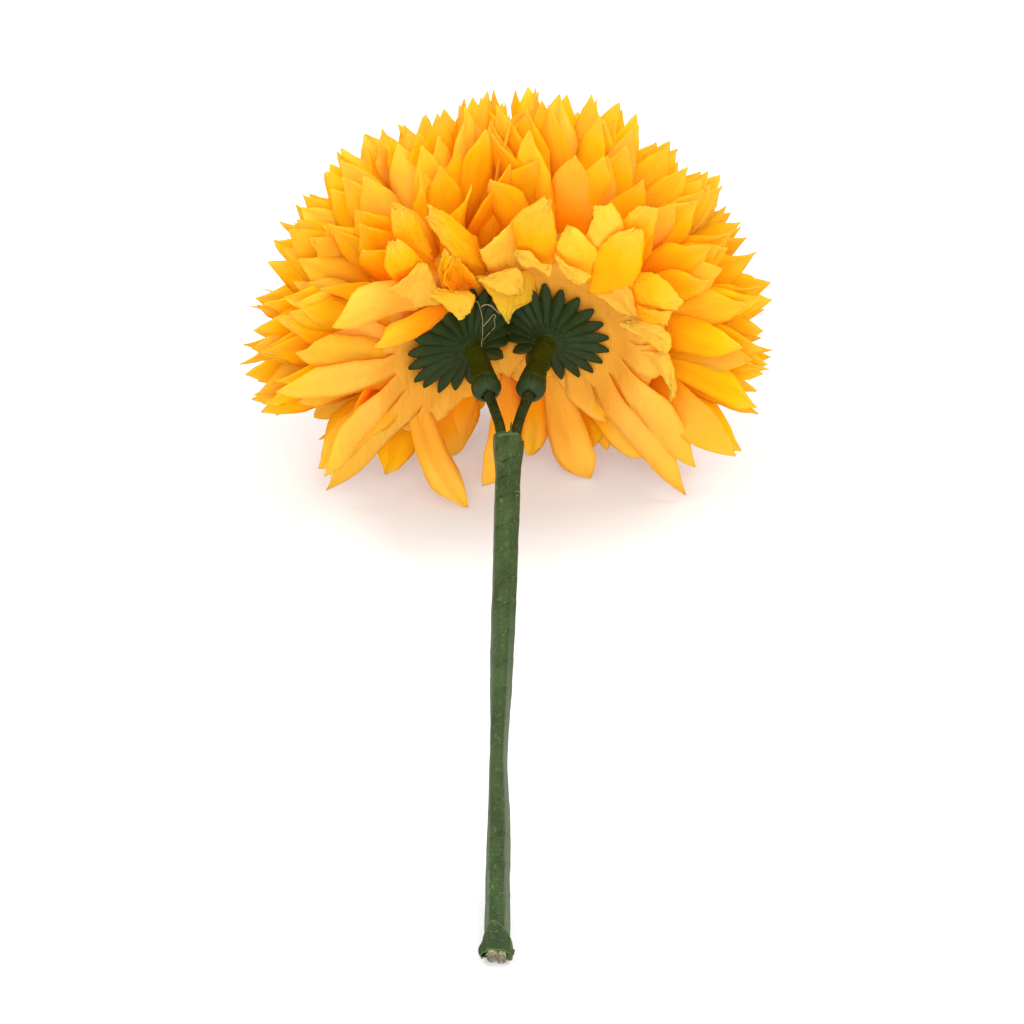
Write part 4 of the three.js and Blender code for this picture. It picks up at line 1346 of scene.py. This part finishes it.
def stem_tone(angle, along):
    """Red: the grey pressed folds. Green: painted shade in creases and up the right side, and the
    darker cut end.
    """
    side = stem_side(*pressed_section(angle, along), along)
    low = 1 - smooth(along, 70, 135)
    border = lerp(-0.60, -0.84, smooth(along, 10, 60))
    right = smooth(side, 0.46, 0.60)
    left = 1 - smooth(side, border - 0.08, border + 0.04)
    # Painted shade: the creases, and the right side of the upper stem, are darkened.
    crease = bell(side, 0.42, 0.09) + 0.45 * bell(side, -0.3, 0.22)
    dark = max(crease, 0.75 * right * (1 - low), 0.5 * (1 - smooth(along, 20, 110)))
    return (max(right * low, 0.8 * left), min(dark, 1.0), 0.0, 1.0)


def build_wrap(tape):
    """The helix of tape round both rods."""
    first, last, pitch = STEM_TAPE
    turns = (last - first) / pitch

    def tone(u, v):
        return stem_tone(-TAU * v * turns, lerp(first, last, v) + (u - 0.5) * pitch * 1.2)

    bm = bmesh.new()
    wound_tape(bm, stem_section, stem_outline, first, last, pitch, lap=0.22, step=0.07,
               segments=56, tone=tone)
    piece = finish_mesh("wound_stem_tape", bm, tape, wall=0.12)
    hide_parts("stem_wrap")


def stem_ring(angle, along, widen, thicken):
    """A place outside the wrap's outline, which grows by these factors."""
    centre, wide, thin = stem_section(min(along, STEM_LENGTH))
    across, above = stem_outline(angle, along)
    return centre + wide * across * widen + thin * above * thicken


def cuff_point(u, v):
    """The loose last turn round the cut end: u runs up the stem and v round it."""
    heading = TAU * v
    right, up = math.cos(heading), math.sin(heading)
    lower = smooth(-up, 0.45, 0.9)
    top = lerp(CUFF_TOP, CUFF_SIDE, abs(right) ** 1.15) - 2 * lower
    foot = lerp(1.6, 2.1, abs(up)) + 2.6 * lower + 0.5 * ring_noise(heading, 3, 3)
    along = lerp(foot, top, u)
    angle = heading - stem_turn(along)
    hump = smooth(along, 0.5, 3.0) * (1 - smooth(along, 3.5, 7.0))
    flare = 1.04 + (0.24 * smooth(-right, 0.55, 1.0) + 0.06) * hump
    flare += 0.03 * noise.noise(Vector((math.cos(angle) * 4, angle, along * 0.5)))
    spot = stem_ring(angle, along, flare, flare)
    spot.z = max(spot.z, FLOOR_CLEAR + 0.1)
    return spot


def cuff_tone(u, v):
    """Dark tape with a pale cut edge at the top and a duller one at the foot."""
    return (0.0, 0.55, 1.0 * (u > 0.96) + 0.6 * (u < 0.02), 1)


def collar_point(u, v):
    """The last turn at the fork: it narrows round both branches."""
    angle = TAU * v
    ragged = 0.6 * ring_noise(angle, 2, 8)
    foot = COLLAR_FOOT + 2.5 * math.cos(angle + 0.6)
    along = lerp(foot, STEM_LENGTH + 0.9 * math.cos(angle) + ragged, u)
    flare = 1.03 + 0.05 * noise.noise(Vector((math.cos(angle) * 3, angle, along * 0.4)))
    tuck = flare * (1 - 0.25 * smooth(along, STEM_LENGTH - 1, STEM_LENGTH + 1.5))
    spot = stem_ring(angle, along, tuck * 0.82, tuck)
    return spot + STEM_DIRECTION * max(along - STEM_LENGTH, 0.0)


def collar_tone(u, v):
    """Plain tape with a faintly pale cut edge at the fork."""
    return (0.0, 0.0, 0.4 * (u > 0.92), 1)


def build_stem(settings):
    """The wrap, its last turns at both ends, the torn scraps and the rods."""
    tape = crepe_tape("stem_crepe", settings.tape_colour, settings.tape_mottle_and_shade,
                      settings.tape_edge, settings.tape_fold, fibre_scale=4.8)
    build_wrap(tape)

    def size(u, v):
        return (u * TURN_MAP[0], v * TURN_MAP[1])

    grid_piece("stem_cuff", 24, 64, cuff_point, tape, size, cuff_tone, turned=True,
               merge=0.01, wall=CUFF_WALL)
    grid_piece("fork_collar", 14, 48, collar_point, tape, size, collar_tone,
               turned=True, merge=0.01, wall=CUFF_WALL)
    build_scraps(tape)
    build_rods(settings)


def by_stem(across, along, above):
    """A place beside the stem's axis; below the cut end the axis runs straight on."""
    centre, _, _ = stem_section(max(along, 0.0))
    return centre + AXIS_X * across + STEM_UP * above + STEM_DIRECTION * min(along, 0.0)


# Torn bits of tape: the left and the right edge as (across, along, above) and the bulge.
SCRAPS = (
    (((-2.2, 186.6, 1.3), (-0.6, 187.4, 0.9)), ((2.4, 186.4, 1.3), (0.9, 188.2, 0.9)), 0.3),
    (((0.2, 187.0, 1.0), (0.6, 191.0, 1.2)), ((1.0, 187.2, 0.9), (0.75, 191.0, 1.3)), 0.2),
    (((3.0, 7.4, 0.9), (2.6, 3.4, 0.8), (2.7, 0.7, 0.3)),
     ((3.2, 7.5, 0.8), (3.9, 4.2, 0.3), (3.1, 0.5, 0.1)), 0.6),
    (((3.5, 4.4, 0.2), (3.6, 2.8, -0.1)), ((4.3, 4.1, -0.1), (4.2, 2.8, -0.3)), 0.3),
    (((-3.9, 2.2, -0.5), (-2.1, 2.4, -0.6)), ((-3.8, 2.8, -0.7), (-2.0, 3.0, -0.7)), 0.1),
)


def build_scraps(tape):
    """The torn bits, none of them under the surface."""
    bm = bmesh.new()
    for index, (left, right, bulge) in enumerate(SCRAPS):
        edges = [[by_stem(*spot) for spot in edge] for edge in (left, right)]
        sheet = torn_sheet(*edges, STEM_UP, bulge, crumple=0.3, torn=0.12, seed=index * 7.3)
        mapped_grid(bm, 8, 12, sheet, tone=(0.0, 0.0, 0.18, 1))
    for vert in bm.verts:
        vert.co.z = max(vert.co.z, FLOOR_CLEAR * MM)
    finish_mesh("tape_scraps", bm, tape, wall=0.22, offset=0.0)


ROD_RADIUS = 0.95
CORE_RADIUS = 1.27                # of the swollen cut ends, which are pressed against each other
CORE_LIFT = 1.5                   # how much taller than wide they are
CORE_RINGS = (0.02, 0.55, 0.93)   # rings of the cut face as shares of its radius
ROD_START = 1.5                   # where the rods start along the stem
ROD_CLEAR = 0.1                   # their lowest place over the surface


def rod_spots(side):
    """Places along a rod from the cut end through the wrap and its branch."""
    steps, branch_steps = 30, 8
    spots = [rod_in_wrap(side, lerp(ROD_START, STEM_LENGTH, i / steps)) for i in range(steps)]
    branch = branch_points(side)
    return spots + [bezier(branch, i / branch_steps) for i in range(branch_steps + 1)]


def build_rods(settings):
    """Both rods along the stem and their branches, with rough cut ends."""
    material = cut_rod_material(settings)
    face_rows = len(CORE_RINGS)
    for head in HEADS:
        frames = path_frames(rod_spots(head.side))
        rows = len(frames) + face_rows + 1

        def point(u, v):
            row = round(v * rows)
            angle = TAU * u
            index = min(max(row - face_rows, 0), len(frames) - 1)
            radius = ROD_RADIUS if index else CORE_RADIUS
            rough = 0.0
            if row < face_rows:
                radius *= CORE_RINGS[row]
                rough = 0.5 * ring_noise(angle, row, head.side * 5.0) + 0.3 + 0.15 * row
            if row > rows - 2:
                radius = 0.02
            spot = ring_spot(frames[index], angle, radius, 1.0 if index else CORE_LIFT)
            spot += STEM_DIRECTION * rough
            spot.z = max(spot.z, ROD_CLEAR)
            return spot

        piece = grid_piece(f"cut_rod_{head.name}", 16, rows, point, material,
                           tone=lambda u, v: (v * rows < face_rows - 0.5, 0, 0, 1), merge=0.05)
        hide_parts(f"rod_{head.name}")


# Radius of the taped branches at the fork and at the bulb.
TAPED_RADIUS = {"left": (1.3, 1.45), "right": (1.35, 1.6)}
BRANCH_TAPE_START = -3.0          # inside the fork
BRANCH_TAPE_PITCH = 6.8


def build_branches(settings):
    """The helix of tape round each branch."""
    tape = crepe_tape("branch_crepe", settings.branch_colour, settings.branch_dark,
                      settings.branch_edge, settings.branch_colour, fibre_scale=6.6)
    for head in HEADS:
        points = branch_points(head.side)
        length = (points[3] - points[0]).length

        def path(along):
            share = along / length
            ahead = (bezier(points, share + 0.02) - bezier(points, share - 0.02)).normalized()
            wide = ahead.cross(STEM_UP).normalized()
            return bezier(points, share), wide, wide.cross(ahead)

        def outline(angle, along):
            radius = lerp(*TAPED_RADIUS[head.name], smooth(along, length * 0.5, length))
            radius += 0.08 * ring_noise(angle, 1, along * 0.5)
            return radius * math.cos(angle), radius * math.sin(angle)

        bm = bmesh.new()
        wound_tape(bm, path, outline, BRANCH_TAPE_START, length, BRANCH_TAPE_PITCH, lap=0.3,
                   step=0.1, segments=26, tone=(0.0, 0.0, 0.0, 1))
        piece = finish_mesh(f"wound_branch_tape_{head.name}", bm, tape, wall=0.2)
        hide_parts(f"branch_tape_{head.name}")


# ---------------------------------------------------------------- strings of glue

# Routes over the left calyx as (azimuth, radius, height) of its head, and their thickness.
STRINGS = (
    (((90, 18, -6.5), (86, 17.4, -6.5), (83, 14.7, -7), (78, 11.2, -7.2), (71, 6.5, -7.5),
      (60, 3.1, -8), (-1, 1.4, -8.5), (-57, 3.2, -9)), 0.09),
    (((83, 15.8, -7), (79, 16.6, -7.5), (74, 16.3, -8), (64, 14.3, -7.5), (52, 12.9, -7)), 0.15),
    (((74, 8.7, -7.2), (71, 11.3, -8), (67, 13.1, -8), (65, 13.2, -8.5), (62, 11.6, -8),
      (56, 10.2, -8), (53, 9.1, -8), (55, 8.1, -8)), 0.10),
    (((59, 4.4, -7.5), (60, 8, -8.5)), 0.07),
)


def build_strings(settings):
    """Draws each string as a thin tube on the smooth route through its places."""
    bm = bmesh.new()
    for route, thickness in STRINGS:
        spots = HEADS[0].spots(route)
        steps = 8 * (len(spots) - 1)
        smooth_route = [route_point(spots, i / steps) for i in range(steps + 1)]
        tube(bm, smooth_route, thickness, columns=6)
    finish_mesh("glue_strings", bm, glue_material(settings))


# ---------------------------------------------------------------- stage

# The softboxes in metres: where each stands, its side and its share of the key light's power.
SOFTBOXES = (
    ("right_light", (1.0, 0.35, 1.4), 0.8, 1.0),
    ("left_light", (-1.0, 0.35, 1.4), 0.8, 0.9),
    ("front_light", (0.0, -1.5, 1.0), 1.2, 1.2),
)
LIGHT_TARGET = Vector((0, 0, 0.05))


def build_floor(settings):
    """A plain floor that isn't part of the object."""
    bm = bmesh.new()
    bmesh.ops.create_grid(bm, x_segments=1, y_segments=1, size=3.0)
    mesh = bpy.data.meshes.new("floor")
    bm.to_mesh(mesh)
    bm.free()
    mesh.materials.append(floor_material(settings))
    floor = bpy.data.objects.new("floor", mesh)
    bpy.context.scene.collection.objects.link(floor)


def build_room(settings):
    """The even light of the room and three softboxes that face the pick."""
    scene = bpy.context.scene
    world = bpy.data.worlds.new("soft_room")
    world.use_nodes = True
    feed(world.node_tree, world.node_tree.nodes["Background"].inputs["Color"], (1, 1, 1))
    feed(world.node_tree, world.node_tree.nodes["Background"].inputs["Strength"],
         settings.room_light)
    scene.world = world
    scene.view_settings.view_transform = "Standard"
    for name, spot, size, share in SOFTBOXES:
        data = bpy.data.lights.new(name, "AREA")
        data.size = size
        data.energy = settings.key_light * share
        light = bpy.data.objects.new(name, data)
        light.location = spot
        light.rotation_euler = (LIGHT_TARGET - Vector(spot)).to_track_quat("-Z", "Y").to_euler()
        scene.collection.objects.link(light)


def build_camera(settings):
    """A long lens that looks down on the pick from behind its stem."""
    scene = bpy.context.scene
    data = bpy.data.cameras.new("camera")
    data.lens = settings.lens
    data.sensor_width = 36
    camera = bpy.data.objects.new("camera", data)
    look = Vector((0, math.cos(settings.camera_down), -math.sin(settings.camera_down)))
    target = Vector((settings.target_across, settings.target_along, settings.target_up))
    camera.location = target - look * settings.camera_distance
    camera.rotation_euler = look.to_track_quat("-Z", "Y").to_euler()
    scene.collection.objects.link(camera)
    scene.camera = camera


# ---------------------------------------------------------------- settings and operators

def colour(name, description, default):
    return bpy.props.FloatVectorProperty(name=name, description=description, default=default,
                                         subtype="COLOR", min=0.0, max=1.0)


class PICK_PG_petals(bpy.types.PropertyGroup):
    """Sizes and colours of the petals."""
    petal_width: bpy.props.FloatProperty(
        name="Petal Width", description="Width of a petal at its broadest",
        default=PETAL_WIDTH * MM, unit="LENGTH")
    cloth_thickness: bpy.props.FloatProperty(
        name="Cloth Thickness", description="Thickness of the petal cloth",
        default=0.24 * MM, unit="LENGTH")
    # Painted glow: light that the cloth emits, seen by diffuse rays only.
    painted_glow: bpy.props.FloatProperty(
        name="Warmth", description="Light that the lit cloth passes on to what lies round it",
        default=0.05, min=0.0, max=2.0)
    see_through: bpy.props.FloatProperty(
        name="See Through", description="Share of light that passes through the cloth",
        default=0.42, min=0.0, max=1.0, subtype="FACTOR")
    # Root colour: dye deepened into painted shade of the ball's depth.
    root_dye_and_shade: colour("Depth", "Dye near the root of a petal", (1.0, 0.28, 0.0))
    middle_colour: colour("Middle", "Dye half way along a petal", (1.0, 0.48, 0.0))
    body_colour: colour("Body", "Dye of a petal's broad part", (1.0, 0.63, 0.0))
    tip_colour: colour("Tip", "Dye at the petal tips", (1.0, 0.71, 0.075))
    disc_colour: colour("Back Disc", "Cloth of the flat back disc", (0.94, 0.50, 0.060))
    lance_colour: colour("Back Petals", "Cloth of the back disc's petals", (1.0, 0.665, 0.10))
    rim_colour: colour("Rim", "Dyed line along the cut edges", (1.0, 0.58, 0.004))
    thread_colour: colour("Thread", "Lighter thread of the weave", (1.0, 0.73, 0.03))
    # Also the tint of the cloth's painted glow.
    glow_colour: colour("Glow", "Tint of the light that passes through", (1.0, 0.76, 0.10))


class PICK_PG_green(bpy.types.PropertyGroup):
    """Colours of the plastic and the tape."""
    calyx_colour: colour("Calyx", "Moulded calyx", (0.021, 0.038, 0.006))
    # Painted shade of the grooves between the lobes, and the dark of the mottle.
    mottle_and_groove_shade: colour("Groove", "Grooves between the lobes", (0.007, 0.011, 0.002))
    bulb_colour: colour("Bulb", "Ribbed bulb", (0.027, 0.048, 0.013))
    sleeve_colour: colour("Sleeve", "Sleeve above the bulb", (0.036, 0.043, 0.001))
    sleeve_dark: colour("Sleeve Shade", "Dark mottling of the sleeve", (0.013, 0.017, 0.0005))
    tape_colour: colour("Stem Tape", "Crepe tape of the stem", (0.041, 0.071, 0.019))
    # Darker mottling, and painted shade in the stem's creases.
    tape_mottle_and_shade: colour("Stem Tape Shade", "Darker mottling of the tape", (0.019, 0.037, 0.010))
    tape_fold: colour("Stem Tape Folds", "Greyish pressed folds", (0.088, 0.11, 0.066))
    tape_edge: colour("Stem Tape Edge", "Pale overlap edge of the tape", (0.14, 0.21, 0.065))
    branch_colour: colour("Branch Tape", "Tape of the branches", (0.020, 0.028, 0.001))
    branch_dark: colour("Branch Tape Shade", "Darker mottling", (0.010, 0.015, 0.0004))
    branch_edge: colour("Branch Tape Edge", "Pale overlap edge", (0.07, 0.11, 0.025))
    core_colour: colour("Core", "Grey core of the cut rods", (0.17, 0.145, 0.095))
    grime_colour: colour("Core Grime", "Dark patches on the rods", (0.10, 0.08, 0.06))
    # Painted highlights on the cut ends.
    glint_colour: colour("Core Glint", "Bright specks on the cut ends", (0.75, 0.74, 0.70))
    coat_colour: colour("Core Coat", "Creamy coat of the rods", (0.55, 0.48, 0.24))
    glue_colour: colour("Glue", "Strings of glue", (0.42, 0.33, 0.15))


class PICK_PG_stage(bpy.types.PropertyGroup):
    """Camera, floor and light."""
    lens: bpy.props.FloatProperty(name="Lens", description="Focal length in millimetres",
                                  default=222.0)
    camera_distance: bpy.props.FloatProperty(
        name="Camera Distance", description="Camera to target", default=1.66, unit="LENGTH")
    camera_down: bpy.props.FloatProperty(
        name="Camera Down", description="Angle of the view below level",
        default=math.radians(32), subtype="ANGLE")
    target_across: bpy.props.FloatProperty(
        name="Target Across", description="Where the camera looks, across", default=0.0009,
        unit="LENGTH")
    target_along: bpy.props.FloatProperty(
        name="Target Along", description="Where the camera looks, along", default=0.015,
        unit="LENGTH")
    target_up: bpy.props.FloatProperty(
        name="Target Up", description="Where the camera looks, up", default=0.032, unit="LENGTH")
    room_light: bpy.props.FloatProperty(name="Room Light", description="Even light of the room",
                                        default=1.0, min=0.0)
    key_light: bpy.props.FloatProperty(name="Key Light", description="Power of the main softbox",
                                       default=14.0, unit="POWER")
    floor_colour: colour("Floor", "Plain pale floor", (0.62, 0.613, 0.606))
    floor_light: bpy.props.FloatProperty(
        name="Floor Light", description="Share of the floor's brightness that is its own",
        default=0.24, min=0.0, max=1.0, subtype="FACTOR")


class PICK_OT_stage(bpy.types.Operator):
    """Set up the floor, the lights and the camera"""
    bl_idname = "pick.stage"
    bl_label = "Stage"

    def execute(self, context):
        settings = context.scene.pick_stage
        build_floor(settings)
        build_room(settings)
        build_camera(settings)
        return {"FINISHED"}


class PICK_OT_blooms(bpy.types.Operator):
    """Make the petals of both heads"""
    bl_idname = "pick.blooms"
    bl_label = "Petals"

    def execute(self, context):
        build_blooms(context.scene.pick_petals)
        return {"FINISHED"}


class PICK_OT_calyxes(bpy.types.Operator):
    """Make the lobed calyxes and their neck rings"""
    bl_idname = "pick.calyxes"
    bl_label = "Calyxes"

    def execute(self, context):
        build_calyxes(context.scene.pick_green)
        return {"FINISHED"}


class PICK_OT_sockets(bpy.types.Operator):
    """Make the ribbed bulbs and sleeves"""
    bl_idname = "pick.sockets"
    bl_label = "Sockets"

    def execute(self, context):
        build_sockets(context.scene.pick_green)
        return {"FINISHED"}


class PICK_OT_branches(bpy.types.Operator):
    """Wind the tape round both branches"""
    bl_idname = "pick.branches"
    bl_label = "Branch Tapes"

    def execute(self, context):
        build_branches(context.scene.pick_green)
        return {"FINISHED"}


class PICK_OT_stem(bpy.types.Operator):
    """Wind the tape round the stem and dress its cut end"""
    bl_idname = "pick.stem"
    bl_label = "Stem Wrap"

    def execute(self, context):
        build_stem(context.scene.pick_green)
        return {"FINISHED"}


class PICK_OT_strings(bpy.types.Operator):
    """Draw the strings of glue over the left calyx"""
    bl_idname = "pick.strings"
    bl_label = "Glue Strings"

    def execute(self, context):
        build_strings(context.scene.pick_green)
        return {"FINISHED"}


class PICK_PT_panel(bpy.types.Panel):
    """The pieces of the pick, in the order they are made"""
    bl_label = "Pompon Pick"
    bl_idname = "PICK_PT_panel"
    bl_space_type = "VIEW_3D"
    bl_region_type = "UI"
    bl_category = "Pompon Pick"

    def draw(self, context):
        for operator in OPERATORS:
            self.layout.operator(operator.bl_idname)


OPERATORS = (PICK_OT_stage, PICK_OT_blooms, PICK_OT_calyxes, PICK_OT_sockets, PICK_OT_branches,
             PICK_OT_stem, PICK_OT_strings)
GROUPS = {"pick_petals": PICK_PG_petals, "pick_green": PICK_PG_green, "pick_stage": PICK_PG_stage}
CLASSES = (*GROUPS.values(), *OPERATORS, PICK_PT_panel)


def register():
    for made in CLASSES:
        bpy.utils.register_class(made)
    for name, group in GROUPS.items():
        setattr(bpy.types.Scene, name, bpy.props.PointerProperty(type=group))


def unregister():
    for name in GROUPS:
        delattr(bpy.types.Scene, name)
    for made in reversed(CLASSES):
        bpy.utils.unregister_class(made)


def main():
    register()
    noise.seed_set(RAGGED_SEED)
    weave_group()
    mottle_group()
    edge_group()
    bpy.ops.pick.stage()
    bpy.ops.pick.blooms()
    bpy.ops.pick.calyxes()
    bpy.ops.pick.sockets()
    bpy.ops.pick.branches()
    bpy.ops.pick.stem()
    bpy.ops.pick.strings()


if __name__ == "__main__":
    main()
